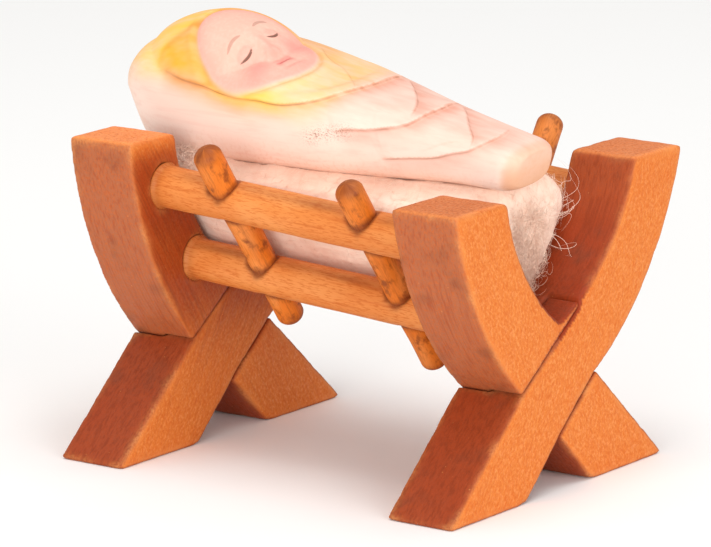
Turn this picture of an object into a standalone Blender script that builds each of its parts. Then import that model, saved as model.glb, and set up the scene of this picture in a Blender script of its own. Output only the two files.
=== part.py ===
"""A small wooden manger with a carved, painted swaddled baby lying on a tuft of raw wool.

The manger is two crossed trestles, four round rails and four slanted pegs. Lengths are in metres.
+X runs along the manger from the head end to the foot end, -Y is the left side seen from the foot end,
and +Z is up. The parent empty brings the middle of the whole model's underside to the origin.
"""

import math

import bmesh
import bpy
import numpy as np
from mathutils import Matrix, Vector

MM = 0.001

# Clearances
TOUCH_GAP = 0.3 * MM          # between pieces that touch
SEAM_GAP = 0.3 * MM           # between the two boards of a half lap

# Manger as a whole
MANGER_LENGTH = 91.0 * MM     # over the outer faces of the two trestles
BOARD_THICKNESS = 14.6 * MM
EDGE_EASE = 0.6 * MM          # width of the eased edges

# Trestle outline shared by both ends, as seen from the foot end; -Y is left
NOTCH_HEIGHT = 32.4 * MM      # bottom of the V that holds the bedding
CROTCH_HEIGHT = 10.5 * MM     # top of the gap between the legs
WAIST_HEIGHT = 20.9 * MM
WAIST_HALF_WIDTH = 12.4 * MM
FOOT_REACH = 36.2 * MM        # from the middle to the outside of a foot
FOOT_INSIDE = 11.0 * MM       # from the middle to the inside of a foot
SEAM_RISE = 2.0 * MM          # from the notch's bottom up to where the lap's upper seam meets its edge
SEAM_OFFSET = 6.5 * MM        # that point's distance from the middle
TIP_RADIUS = 1.0 * MM
TOE_RADIUS = 1.4 * MM

# Arms of the two trestles; the right arm leans out further than the left one
FOOT_ARM_RISE = 25.8 * MM     # from the notch's bottom to the tips of the arms
HEAD_ARM_RISE = 30.1 * MM
FOOT_RIGHT_EXTRA = 1.4 * MM   # the foot trestle's right arm reaches this much higher
HEAD_ARM_SLIM = 2.5 * MM      # the head trestle's arms are this much narrower at the tip
LEFT_ARM_INSIDE = 17.8 * MM
LEFT_ARM_OUTSIDE = 34.4 * MM
RIGHT_ARM_INSIDE = 25.3 * MM
RIGHT_ARM_OUTSIDE = 41.8 * MM
LEFT_INNER_BOW = 3.2 * MM     # how far each side of an arm bows out from a straight line
LEFT_OUTER_BOW = 3.8 * MM
RIGHT_INNER_BOW = 4.3 * MM
RIGHT_OUTER_BOW = 4.9 * MM

# Rails: round dowels that fall towards the foot end
RAIL_DIAMETER = 8.0 * MM
RAIL_SEAT = 6.0 * MM          # depth of a rail end in a board
RAIL_SIDES = 20
LEFT_RAIL_IN = 5.4 * MM       # from the notch's edge to the axis of the left upper rail
RIGHT_RAIL_IN = 6.0 * MM
LOWER_RAIL_IN = 7.2 * MM
UPPER_RAIL_RISE = 18.6 * MM   # from the notch's bottom to the axis of the left rails at mid length
LOWER_RAIL_RISE = 2.8 * MM
RIGHT_RAIL_RISE = 1.2 * MM    # the right rails sit this much higher
RAIL_FALL = 3.6 * MM          # drop of a rail from trestle to trestle

# Pegs: thinner dowels driven through both rails of a side
PEG_DIAMETER = 5.5 * MM
PEG_SIDES = 14
PEG_PLACES = {"1": -15.3 * MM, "2": 16.8 * MM}   # where a peg passes the upper rail
PEG_LEAN = 1.7 * MM           # how much nearer the foot end it passes the lower rail
PEG_ABOVE = {"1": 12.9 * MM, "2": 11.7 * MM}
PEG_BELOW = {"1": 12.0 * MM, "2": 15.3 * MM}
RIGHT_PEG_SHIFT = 2.4 * MM    # the right pegs are this much nearer the foot end
RIGHT_PEG_EXTRA = {"1": 0.6 * MM, "2": 3.3 * MM}   # and stand this much taller

# Figure, in its own frame: X from the crown to the feet, Z up from the back at the feet
FIGURE_LENGTH = 96.2 * MM
WIDTH_STATIONS = (0.0, 0.30, 0.52, 0.78, 1.0)
HALF_WIDTHS = (15.2 * MM, 15.4 * MM, 13.8 * MM, 9.4 * MM, 7.2 * MM)
HEIGHT_STATIONS = (0.0, 0.10, 0.26, 0.42, 0.63, 0.83, 1.0)
HEIGHTS = (16.5 * MM, 20.2 * MM, 19.9 * MM, 18.3 * MM, 14.6 * MM, 11.0 * MM, 8.2 * MM)
BACK_DEPTH = 4.8 * MM         # how much deeper the back lies at the crown than at the feet
BACK_DEPTH_END = 0.85         # share of the length where that runs out
CROWN_TAPER = 22.0 * MM       # how far the plan narrows towards the crown
CROWN_ROUNDING = 8.0 * MM
CROWN_UNDERCUT = 4.5 * MM
FOOT_ROUNDING = 4.0 * MM
FOOT_UNDERCUT = 2.6 * MM
FIGURE_ROLL = math.radians(7.4)
FIGURE_PITCH = math.radians(0.6)
FIGURE_YAW = math.radians(-4.7)
FIGURE_OVERHANG = 8.3 * MM    # crown beyond the head trestle
FIGURE_SIDE = 6.1 * MM        # middle of the crown from the notch
FIGURE_ABOVE_RAIL = 7.7 * MM  # the figure's heels above the axis of the upper rail
FIGURE_RINGS = 56
FIGURE_SIDES = 34

# Head, face and wraps, as lengths along the figure
HEAD_CENTRE = 22.0 * MM
HEAD_SIDE = -1.8 * MM
HEAD_HALF_LENGTH = 15.5 * MM
HEAD_HALF_WIDTH = 13.5 * MM
HEAD_RISE = 5.5 * MM
FACE_CENTRE = 32.5 * MM
FACE_SIDE = -4.4 * MM         # the face is turned a little to the left side
FACE_HALF_LENGTH = 12.4 * MM
FACE_HALF_WIDTH = 9.8 * MM
NOSE_RISE = 0.7 * MM
HOOD_CENTRE = 27.0 * MM
HOOD_HALF_LENGTH = 27.5 * MM
HOOD_HALF_WIDTH = 14.2 * MM
HOOD_SINK = 0.5 * MM
HOOD_SIDE_SOFTNESS = 1.0 * MM
WRAP_STEP = 0.55 * MM         # how far a wrap's edge stands above what lies beside it
WRAP_SOFTNESS = 0.4 * MM      # how wide the step's slope is
WRAP_FADE = 11.0 * MM         # how soon it runs out again
WRAPS_START = 30.0 * MM       # nothing is wrapped nearer the crown than this
WRAPS_START_SOFTNESS = 4.0 * MM
WRAP_FRONTS = (56.0 * MM, 73.3 * MM, 88.9 * MM)
WRAP_SWEEPS = (11.0 * MM, 9.0 * MM, 4.3 * MM)
WRAP_BACKS = (37.0 * MM, 57.5 * MM, 72.5 * MM)

# Wool bedding
WOOL_RINGS = 26
WOOL_SIDES = 20
WOOL_ABOVE_RAIL = 7.4 * MM    # its top at the head end, above the axis of the left upper rail
WOOL_TOP_FALL = 0.7 * MM      # how much lower it lies at the foot end
WOOL_BELOW_RAIL = 2.0 * MM    # its underside, below the axis of the left lower rail
WOOL_HEAD_PAST = 8.0 * MM     # how far it reaches into the head trestle
WOOL_FOOT_PAST = 5.2 * MM     # and through the foot trestle
WOOL_CLEARANCE = 0.55 * MM
WOOL_HEAD_ROUNDING = 5.0 * MM
WOOL_FOOT_ROUNDING = 5.0 * MM
WOOL_IN_NOTCH = 1.5 * MM      # how far it stays from the notch's edge
WOOL_PINCH_SOFTNESS = 1.2 * MM
WOOL_LEAST_WIDTH = 1.2 * MM
END_STEP = 0.05 * MM          # first ring of a rounded end, so that it is never a single point

ORANGE_STAIN = (0.78, 0.27, 0.075)
RAIL_STAIN = (0.85, 0.36, 0.12)
PEG_STAIN = (0.62, 0.19, 0.035)
PAINTED_WHITE = (0.93, 0.80, 0.70)
WOOL_CREAM = (0.80, 0.62, 0.53)


def smooth_curve(x, knots, values):
    """Value at x of the curve through the knots that never overshoots them (monotone cubic pieces)."""
    knots, values = np.asarray(knots, float), np.asarray(values, float)
    step = np.diff(knots)
    slope = np.diff(values) / step
    tangent = np.zeros_like(values)
    same_way = slope[:-1] * slope[1:] > 0
    tangent[1:-1][same_way] = 2 * (slope[:-1] * slope[1:])[same_way] / (slope[:-1] + slope[1:])[same_way]
    tangent[0], tangent[-1] = slope[0], slope[-1]
    i = np.clip(np.searchsorted(knots, x) - 1, 0, len(step) - 1)
    t = np.clip((x - knots[i]) / step[i], 0, 1)
    start = values[i] * (1 + 2 * t) * (1 - t) ** 2 + tangent[i] * step[i] * t * (1 - t) ** 2
    end = values[i + 1] * t ** 2 * (3 - 2 * t) + tangent[i + 1] * step[i] * t ** 2 * (t - 1)
    return start + end


def soft_step(x, width):
    """0 below zero and 1 above it, turning smoothly over the width."""
    return 0.5 + 0.5 * np.tanh(x / width)


def signed_power(x, power):
    return np.sign(x) * np.abs(x) ** power


def rounding(distance, reach, power):
    """Share of full size at a distance from a rounded end: 0 at the end, 1 past the reach."""
    left = 1 - np.clip(distance / reach, 0, 1)
    return (1 - left ** power) ** (1 / power)


def collection(name):
    made = bpy.data.collections.new(name)
    bpy.context.scene.collection.children.link(made)
    return made


def material(name, colour, roughness):
    made = bpy.data.materials.new(name)
    made.use_nodes = True
    made.diffuse_color = (*colour, 1)
    shader = made.node_tree.nodes["Principled BSDF"]
    shader.inputs["Base Color"].default_value = (*colour, 1)
    shader.inputs["Roughness"].default_value = roughness
    shader.inputs["Metallic"].default_value = 0
    return made


def add_object(name, mesh, where, parent, surface=None):
    piece = bpy.data.objects.new(name, mesh)
    where.objects.link(piece)
    piece.parent = parent
    if surface:
        mesh.materials.append(surface)
    return piece


def add_cutter(name, mesh, where, parent):
    cutter = add_object(name, mesh, where, parent)
    cutter.hide_render = True
    cutter.display_type = "WIRE"
    return cutter


def cut(piece, cutter):
    """Take the cutter's shape out of the piece."""
    boolean = piece.modifiers.new("cut " + cutter.name, "BOOLEAN")
    boolean.operation = "DIFFERENCE"
    boolean.solver = "EXACT"
    boolean.object = cutter


def arc(start, end, bow, steps=8):
    """Points after start up to end on a circular arc that bows out to the right of the way there."""
    start, end = np.array(start), np.array(end)
    half = np.linalg.norm(end - start) / 2
    along = (end - start) / (2 * half)
    right = np.array((along[1], -along[0]))
    radius = (half ** 2 + bow ** 2) / (2 * bow)
    centre = (start + end) / 2 + right * (bow - radius)
    half_angle = math.asin(half / radius)
    angles = np.linspace(-half_angle, half_angle, steps + 1)[1:]
    return [tuple(centre + radius * (math.cos(a) * right + math.sin(a) * along)) for a in angles]


def on_arc(start, end, bow, height):
    """Sideways place of the arc's point at a height."""
    points = [start] + arc(start, end, bow, 64)
    points.sort(key=lambda point: point[1])
    return float(np.interp(height, [p[1] for p in points], [p[0] for p in points]))


def rounded(points, radii, steps=3):
    """The closed outline with each corner that has a radius replaced by a short curve."""
    out = []
    count = len(points)
    for i, radius in enumerate(radii):
        here = np.array(points[i])
        if not radius:
            out.append(tuple(here))
            continue
        before = np.array(points[i - 1]) - here
        after = np.array(points[(i + 1) % count]) - here
        before = here + before / np.linalg.norm(before) * radius
        after = here + after / np.linalg.norm(after) * radius
        for t in np.linspace(0, 1, steps + 1):
            out.append(tuple((1 - t) ** 2 * before + 2 * t * (1 - t) * here + t ** 2 * after))
    return out


def inner_arm(side, top):
    """Start, end and bow of the notch's edge on one side, from the notch's bottom to the arm's tip."""
    reach = RIGHT_ARM_INSIDE if side > 0 else LEFT_ARM_INSIDE
    bow = RIGHT_INNER_BOW if side > 0 else LEFT_INNER_BOW
    return (0.0, NOTCH_HEIGHT), (side * reach, top), bow


def foot_arm_top():
    return NOTCH_HEIGHT + FOOT_ARM_RISE


def trestle_outline(top, right_extra, slim):
    """Closed outline (Y, Z) of the two crossed boards, running anticlockwise from the left foot."""
    right_top = top + right_extra
    left_waist, right_waist = (-WAIST_HALF_WIDTH, WAIST_HEIGHT), (WAIST_HALF_WIDTH, WAIST_HEIGHT)
    corners = [(-FOOT_REACH, 0.0), (-FOOT_INSIDE, 0.0), (0.0, CROTCH_HEIGHT),
               (FOOT_INSIDE, 0.0), (FOOT_REACH, 0.0), right_waist]
    radii = [TOE_RADIUS, TOE_RADIUS, 0, TOE_RADIUS, TOE_RADIUS, 0]
    right_side = arc(right_waist, (RIGHT_ARM_OUTSIDE - slim, right_top), RIGHT_OUTER_BOW)
    tip = (RIGHT_ARM_INSIDE, right_top)
    right_notch = arc(tip, (0.0, NOTCH_HEIGHT), -RIGHT_INNER_BOW)
    left_notch = arc((0.0, NOTCH_HEIGHT), (-LEFT_ARM_INSIDE, top), -LEFT_INNER_BOW)
    left_tip = (slim - LEFT_ARM_OUTSIDE, top)
    left_side = arc(left_tip, left_waist, LEFT_OUTER_BOW)
    for run in (right_side, [tip], right_notch, left_notch, [left_tip], left_side):
        corners += run
        radii += [0] * len(run)
    for tip_point in (right_side[-1], tip, left_notch[-1], left_tip):
        radii[corners.index(tip_point)] = TIP_RADIUS
    return rounded(corners, radii)


def plate(name, outline, low_x, high_x):
    """Mesh of a flat (Y, Z) outline between two X planes, made from a filled 2D curve."""
    curve = bpy.data.curves.new(name, "CURVE")
    curve.dimensions = "2D"
    curve.fill_mode = "BOTH"
    curve.extrude = (high_x - low_x) / 2
    spline = curve.splines.new("POLY")
    spline.points.add(len(outline) - 1)
    for point, (y, z) in zip(spline.points, outline):
        point.co = (y, z, 0, 1)
    spline.use_cyclic_u = True
    guide = bpy.data.objects.new(name, curve)
    bpy.context.scene.collection.objects.link(guide)
    guide.rotation_euler = (math.pi / 2, 0, math.pi / 2)
    guide.location = ((low_x + high_x) / 2, 0, 0)
    bpy.context.view_layer.update()
    mesh = bpy.data.meshes.new_from_object(guide.evaluated_get(bpy.context.evaluated_depsgraph_get()))
    mesh.transform(guide.matrix_world)
    bpy.data.objects.remove(guide)
    bpy.data.curves.remove(curve)
    mesh.name = name
    weld(mesh)
    return mesh


def weld(mesh):
    """Join the mesh's loose caps to its sides and turn every face outwards."""
    work = bmesh.new()
    work.from_mesh(mesh)
    bmesh.ops.remove_doubles(work, verts=work.verts, dist=0.00001)
    bmesh.ops.recalc_face_normals(work, faces=work.faces)
    work.to_mesh(mesh)
    work.free()


def rod(name, start, end, diameter, sides):
    """Mesh of a round rod between two points."""
    start, end = np.array(start), np.array(end)
    length = float(np.linalg.norm(end - start))
    work = bmesh.new()
    bmesh.ops.create_cone(work, cap_ends=True, segments=sides, radius1=diameter / 2,
                          radius2=diameter / 2, depth=length)
    mesh = bpy.data.meshes.new(name)
    work.to_mesh(mesh)
    work.free()
    mesh.transform(along_matrix(start, end))
    return mesh


def along_matrix(start, end):
    """Matrix that puts the middle of an upright thing halfway from start to end, along that line."""
    way = Vector(end) - Vector(start)
    turn = way.to_track_quat("Z", "Y").to_matrix().to_4x4()
    return Matrix.Translation((Vector(start) + Vector(end)) / 2) @ turn


def smooth_shade(piece):
    piece.data.shade_smooth()
    piece.data.set_sharp_from_angle(angle=math.radians(35))


def inner_face(end):
    """X of the face of a trestle that looks into the manger; end is -1 for the head and 1 for the foot."""
    return end * (MANGER_LENGTH / 2 - BOARD_THICKNESS)


def rail_line(side, level):
    """Height at mid length and the (constant) Y of a rail's axis."""
    height = NOTCH_HEIGHT + (UPPER_RAIL_RISE if level == "upper" else LOWER_RAIL_RISE)
    if side > 0:
        height += RIGHT_RAIL_RISE
    start, end, bow = inner_arm(side, foot_arm_top())
    edge = on_arc(start, end, side * bow, height)
    if level == "lower":
        inset = LOWER_RAIL_IN
    else:
        inset = RIGHT_RAIL_IN if side > 0 else LEFT_RAIL_IN
    return edge + side * inset, height


def rail_point(side, level, x):
    """Point of a rail's axis at a place along the manger."""
    y, height = rail_line(side, level)
    span = MANGER_LENGTH - 2 * BOARD_THICKNESS
    return np.array((x, y, height - RAIL_FALL * x / span))


def rail_ends(side, level, seat):
    """The rail's two end points, each the seat's depth past a trestle's inner face."""
    return [rail_point(side, level, inner_face(end) + end * seat) for end in (-1, 1)]


def peg_line(side, place, extra=0.0):
    """The two end points of a peg's axis, each carried on by the extra length."""
    x = PEG_PLACES[place] + (RIGHT_PEG_SHIFT if side > 0 else 0)
    above = PEG_ABOVE[place] + (RIGHT_PEG_EXTRA[place] if side > 0 else 0)
    upper, lower = rail_point(side, "upper", x), rail_point(side, "lower", x + PEG_LEAN)
    way = (upper - lower) / np.linalg.norm(upper - lower)
    return lower - way * (PEG_BELOW[place] + extra), upper + way * (above + extra)


def half_lap_regions():
    """Outlines that part the crossing: the strip of the board that lies over, and what is left of it.

    Each board lies over the other on one half of the thickness, so the two strips mirror each other.
    """
    far = 2 * RIGHT_ARM_OUTSIDE
    high = 2 * (NOTCH_HEIGHT + HEAD_ARM_RISE)
    seam_top, crotch = (SEAM_OFFSET, NOTCH_HEIGHT + SEAM_RISE), (0.0, CROTCH_HEIGHT)
    waist = (WAIST_HALF_WIDTH, WAIST_HEIGHT)
    strip = [(SEAM_OFFSET, high), seam_top, (-waist[0], waist[1]), (-far, waist[1]), (-far, -high),
             (0.0, -high), crotch, waist, (far, waist[1]), (far, high)]
    over_left = [(-far, waist[1]), (-waist[0], waist[1]), seam_top, (SEAM_OFFSET, high), (-far, high)]
    under_right = [crotch, (0.0, -high), (far, -high), (far, waist[1]), waist]
    return strip, over_left, under_right


def grown(outline, distance):
    """The closed outline with every side moved out by the distance; it must run anticlockwise."""
    points = [np.array(p) for p in outline]
    out = []
    for i, here in enumerate(points):
        before = here - points[i - 1]
        after = points[(i + 1) % len(points)] - here
        normal_a = np.array((before[1], -before[0])) / np.linalg.norm(before)
        normal_b = np.array((after[1], -after[0])) / np.linalg.norm(after)
        middle = normal_a + normal_b
        out.append(tuple(here + middle * distance * 2 / (middle @ middle)))
    return out


def anticlockwise(outline):
    area = sum(a[0] * b[1] - b[0] * a[1] for a, b in zip(outline, outline[1:] + outline[:1]))
    return outline if area > 0 else outline[::-1]


def mirrored(outline):
    return [(-y, z) for y, z in outline]


def make_trestle(end_name, parts, cutters, root, surface):
    """Two boards in a half lap. Board a runs from the right arm to the left leg, board b the other way."""
    end, rise, slim = (-1, HEAD_ARM_RISE, HEAD_ARM_SLIM) if end_name == "head" else (1, FOOT_ARM_RISE, 0.0)
    outline = trestle_outline(NOTCH_HEIGHT + rise, FOOT_RIGHT_EXTRA if end > 0 else 0.0, slim)
    middle = end * (MANGER_LENGTH - BOARD_THICKNESS) / 2
    low, high = middle - BOARD_THICKNESS / 2, middle + BOARD_THICKNESS / 2
    past = BOARD_THICKNESS
    near_half, far_half = (middle - SEAM_GAP / 2, high + past), (low - past, middle + SEAM_GAP / 2)
    strip, over_left, under_right = half_lap_regions()
    cuts = {
        "a": [(over_left, near_half), (under_right, near_half), (mirrored(strip), far_half)],
        "b": [(strip, near_half), (mirrored(over_left), far_half), (mirrored(under_right), far_half)],
    }
    sides = {"a": 1, "b": -1}
    for letter, regions in cuts.items():
        name = end_name + "_trestle_board_" + letter
        board = add_object(name, plate(name, outline, low, high), parts, root, surface)
        ease = board.modifiers.new("eased edges", "BEVEL")
        ease.width = EDGE_EASE
        ease.segments = 1
        ease.limit_method = "ANGLE"
        ease.angle_limit = math.radians(30)
        for number, (region, (from_x, to_x)) in enumerate(regions):
            cutter_name = name + "_lap_" + str(number)
            mesh = plate(cutter_name, grown(anticlockwise(region), SEAM_GAP / 2), from_x, to_x)
            cut(board, add_cutter(cutter_name, mesh, cutters, root))
        for level in ("upper", "lower"):
            ends = rail_ends(sides[letter], level, RAIL_SEAT + TOUCH_GAP)
            seat = ends[0] if end < 0 else ends[1]
            inside = rail_point(sides[letter], level, inner_face(end) - end * RAIL_SEAT)
            socket_name = name + "_" + level + "_socket"
            mesh = rod(socket_name, seat, inside, RAIL_DIAMETER + 2 * TOUCH_GAP, RAIL_SIDES)
            cut(board, add_cutter(socket_name, mesh, cutters, root))


def make_rails(parts, cutters, root, surface):
    for side_name, side in (("left", -1), ("right", 1)):
        bores = []
        for place in PEG_PLACES:
            name = side_name + "_peg_bore_" + place
            mesh = rod(name, *peg_line(side, place, BOARD_THICKNESS), PEG_DIAMETER + 2 * TOUCH_GAP, PEG_SIDES)
            bores.append(add_cutter(name, mesh, cutters, root))
        for level in ("upper", "lower"):
            name = side_name + "_" + level + "_rail"
            mesh = rod(name, *rail_ends(side, level, RAIL_SEAT), RAIL_DIAMETER, RAIL_SIDES)
            rail = add_object(name, mesh, parts, root, surface)
            smooth_shade(rail)
            for bore in bores:
                cut(rail, bore)


def peg_mesh(name, length):
    """Upright peg with domed ends: half its profile turned about Z by a Screw modifier."""
    radius = PEG_DIAMETER / 2
    dome = [(radius * math.sin(a), length / 2 - radius * 0.8 * (1 - math.cos(a)))
            for a in np.radians((0, 25, 50, 72, 90))]
    profile = dome + [(r, -z) for r, z in reversed(dome)]
    mesh = bpy.data.meshes.new(name)
    mesh.from_pydata([(r, 0, z) for r, z in profile], [(i, i + 1) for i in range(len(profile) - 1)], [])
    return mesh


def make_pegs(parts, root, surface):
    for side_name, side in (("left", -1), ("right", 1)):
        for place in PEG_PLACES:
            start, end = peg_line(side, place)
            name = side_name + "_peg_" + place
            peg = add_object(name, peg_mesh(name, float(np.linalg.norm(end - start))), parts, root, surface)
            matrix = along_matrix(start, end)
            peg.location = matrix.to_translation()
            peg.rotation_euler = matrix.to_euler()
            screw = peg.modifiers.new("turned", "SCREW")
            screw.steps = PEG_SIDES
            screw.render_steps = PEG_SIDES
            screw.use_merge_vertices = True
            screw.merge_threshold = 0.00001
            screw.use_smooth_shade = True


def wrap_relief(u, angle):
    """Height of the swaddling's overlaps at a place on the figure.

    u is the length from the crown, and angle is 0 on top, positive towards the left side. Each wrap's
    front edge crosses the top at its own length, sweeps back to the head down the left side, stands up
    by the step on its foot side and fades out. The hidden right side carries a plainer edge.
    """
    relief = np.zeros_like(u)
    turned = np.clip((np.abs(angle) - 0.35) / 1.1, 0, None)
    for front, sweep, back in zip(WRAP_FRONTS, WRAP_SWEEPS, WRAP_BACKS):
        past_front = u - (front - sweep * turned ** 2.6)
        stand = WRAP_STEP * soft_step(past_front, WRAP_SOFTNESS)
        relief += stand * np.exp(-np.clip(past_front, 0, None) / WRAP_FADE)
        past_back = u - (back + 0.013 * (np.degrees(angle) + 38) * (front - back) * 1.1)
        under = soft_step(past_back, WRAP_SOFTNESS) * soft_step(-past_front, WRAP_SOFTNESS)
        relief -= 0.5 * WRAP_STEP * under * soft_step(0.9 - angle, 0.15)
    return relief


def face_relief(u, v):
    """Rise of the head above the swaddling: a smooth mound with a small nose, brow, cheeks and chin."""
    across, along = (v - HEAD_SIDE) / HEAD_HALF_WIDTH, (u - HEAD_CENTRE) / HEAD_HALF_LENGTH
    mound = HEAD_RISE * np.clip(1 - across ** 2 - along ** 2, 0, None) ** 0.9
    across, along = (v - FACE_SIDE) / FACE_HALF_WIDTH, (u - FACE_CENTRE) / FACE_HALF_LENGTH
    nose = NOSE_RISE * np.exp(-(across / 0.13) ** 2 - ((along - 0.22) / 0.16) ** 2)
    cheeks = 0.4 * NOSE_RISE * np.exp(-((np.abs(across) - 0.42) / 0.2) ** 2 - ((along - 0.36) / 0.2) ** 2)
    sockets = 0.5 * NOSE_RISE * np.exp(-((np.abs(across) - 0.36) / 0.18) ** 2 - ((along - 0.02) / 0.12) ** 2)
    return mound + nose + cheeks - sockets


def figure_surface(rings, sides, grow=0.0):
    """Rings of points on the swaddled figure, from the crown to the feet, in the figure's own frame.

    Each section is a rounded box: its half width and height follow the two profiles, its exponents
    keep the sides tall and the back flat, and both ends are rounded and cut back underneath.
    """
    u = FIGURE_LENGTH * (0.5 - 0.5 * np.cos(np.pi * np.linspace(0, 1, rings) ** 0.94))
    u[0] = END_STEP / 2
    u, around = np.meshgrid(u, np.linspace(0, 2 * np.pi, sides, endpoint=False), indexing="ij")
    share = u / FIGURE_LENGTH
    half_width = smooth_curve(share, WIDTH_STATIONS, HALF_WIDTHS)
    height = smooth_curve(share, HEIGHT_STATIONS, HEIGHTS)
    crown_wide, crown_high = rounding(u, CROWN_TAPER, 2.8), rounding(u, CROWN_ROUNDING, 2.8)
    foot = rounding(FIGURE_LENGTH - u, FOOT_ROUNDING, 2.0)
    half_width = half_width * crown_wide * (0.6 + 0.4 * foot)
    middle = height * np.where(share < 0.5, 0.55, 0.5)
    rise = (height - middle) * crown_high * (0.75 + 0.25 * foot)
    sink = BACK_DEPTH * np.clip(1 - share / BACK_DEPTH_END, 0, 1)
    drop = (middle + sink) * crown_high * (0.8 + 0.2 * foot)
    side, up = np.cos(around), np.sin(around)
    v = half_width * signed_power(side, 2 / 2.9)
    w = middle + np.where(up > 0, rise * np.abs(up) ** (2 / 2.4), -drop * np.abs(up) ** (2 / 3.4))
    angle = np.arctan2(-v / half_width, (w - middle) / np.where(up > 0, rise, drop))
    hood_edge = np.abs((u - HOOD_CENTRE) / HOOD_HALF_LENGTH) ** 2.6 + np.abs(v / HOOD_HALF_WIDTH) ** 2.6
    hood_edge = hood_edge ** (1 / 2.6)
    on_top = soft_step(w - middle, HOOD_SIDE_SOFTNESS)
    in_hood = soft_step(1 - hood_edge, 0.03) * on_top
    wraps = wrap_relief(u, angle) * soft_step(u - WRAPS_START, WRAPS_START_SOFTNESS)
    relief = wraps * (1 - in_hood) - HOOD_SINK * in_hood
    relief *= rounding(FIGURE_LENGTH - u, FOOT_ROUNDING, 2.0)
    v = v + (relief + grow) * side
    w = w + (relief + grow) * up + face_relief(u, v) * np.clip(3 * up, 0, 1)
    low = np.clip(1 - w / (0.6 * height), 0, 1)
    u = u + CROWN_UNDERCUT * low * np.clip(1 - share * 4.8, 0, 1)
    u = u - FOOT_UNDERCUT * np.clip(1 - w / height, 0, 1) * np.clip(1 - (1 - share) * 6, 0, 1)
    u = u + grow * np.where(share > 0.99, 1, np.where(share < 0.01, -1, 0))
    return np.stack((u, v, w), axis=-1)


def ring_mesh(name, points):
    """Closed mesh through rings of points, with a flat or pointed cap on the first and last ring."""
    rings, sides = points.shape[:2]
    mesh = bpy.data.meshes.new(name)
    number = np.arange(rings * sides).reshape(rings, sides)
    after = np.roll(number, -1, axis=1)
    quads = np.stack((number[:-1], number[1:], after[1:], after[:-1]), axis=-1).reshape(-1, 4)
    faces = quads.tolist() + [number[0].tolist(), number[-1][::-1].tolist()]
    mesh.from_pydata(points.reshape(-1, 3).tolist(), [], faces)
    weld(mesh)
    return mesh


def place_figure(piece):
    """Lay a figure-shaped object on the bedding: rolled to the left, head up, feet to the foot end."""
    height = rail_line(-1, "upper")[1] + FIGURE_ABOVE_RAIL
    piece.location = (-MANGER_LENGTH / 2 - FIGURE_OVERHANG, FIGURE_SIDE, height)
    piece.rotation_euler = (FIGURE_ROLL, FIGURE_PITCH, FIGURE_YAW)


def make_figure(parts, root, surface):
    name = "swaddled_baby"
    figure = add_object(name, ring_mesh(name, figure_surface(FIGURE_RINGS, FIGURE_SIDES)), parts, root, surface)
    smooth_shade(figure)
    place_figure(figure)
    return figure


def wool_surface(rings, sides):
    """Rings of points on the tuft, from the head end to the foot end.

    Each section is a rounded trapezoid that follows the slope of the rails, narrower below. It closes in
    to pass through the notch of each trestle, and both ends are rounded.
    """
    start, end = inner_face(-1) - WOOL_HEAD_PAST, inner_face(1) + WOOL_FOOT_PAST
    x = start + (end - start) * (0.5 - 0.5 * np.cos(np.pi * np.linspace(0, 1, rings)))
    x[0], x[-1] = start + END_STEP, end - END_STEP
    x, around = np.meshgrid(x, np.linspace(0, 2 * np.pi, sides, endpoint=False), indexing="ij")
    ends = rounding(x - start, WOOL_HEAD_ROUNDING, 2.2) * rounding(end - x, WOOL_FOOT_ROUNDING, 2.2)
    p = signed_power(np.cos(around), 2 / 2.7) * ends
    q = signed_power(np.sin(around), 2 / 2.7) * (0.25 + 0.75 * ends)
    q = q * np.where(ends < 0.02, 0.3, 1)
    top = rail_line(-1, "upper")[1] + WOOL_ABOVE_RAIL - WOOL_TOP_FALL * (x - start) / (end - start)
    bottom = rail_line(-1, "lower")[1] - WOOL_BELOW_RAIL
    z = (top + bottom) / 2 + q * (top - bottom) / 2
    fall = RAIL_FALL * x / (MANGER_LENGTH - 2 * BOARD_THICKNESS)
    walls = []
    for side in (-1, 1):
        (low, low_height), (high, high_height) = rail_line(side, "lower"), rail_line(side, "upper")
        level = (z - low_height + fall) / (high_height - low_height)
        slant = math.hypot(high - low, high_height - low_height) / (high_height - low_height)
        reach = (RAIL_DIAMETER / 2 + WOOL_CLEARANCE) * slant
        wall = low + (high - low) * np.clip(level, -0.3, 1.05) - side * reach
        in_trestle = soft_step(np.abs(x) - inner_face(1) + WOOL_IN_NOTCH, WOOL_PINCH_SOFTNESS)
        edges = []
        for arm_rise in (HEAD_ARM_RISE, FOOT_ARM_RISE):
            notch_start, notch_end, bow = inner_arm(side, NOTCH_HEIGHT + arm_rise)
            heights = np.linspace(NOTCH_HEIGHT, NOTCH_HEIGHT + arm_rise, 24)
            edge = [on_arc(notch_start, notch_end, side * bow, height) for height in heights]
            edges.append(np.interp(z, heights, edge))
        notch = np.where(x < 0, *edges) - side * WOOL_IN_NOTCH
        walls.append(wall * (1 - in_trestle) + notch * in_trestle)
    left, right = walls
    y = (left + right) / 2 + p * np.clip(right - left, WOOL_LEAST_WIDTH, None) / 2
    return np.stack((x, y, z), axis=-1)


def make_wool(parts, cutters, root, surface):
    name = "wool_bedding"
    wool = add_object(name, ring_mesh(name, wool_surface(WOOL_RINGS, WOOL_SIDES)), parts, root, surface)
    smooth_shade(wool)
    hollow = "figure_hollow"
    mesh = ring_mesh(hollow, figure_surface(FIGURE_RINGS // 2, FIGURE_SIDES, WOOL_CLEARANCE))
    cutter = add_cutter(hollow, mesh, cutters, root)
    place_figure(cutter)
    cut(wool, cutter)


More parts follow.
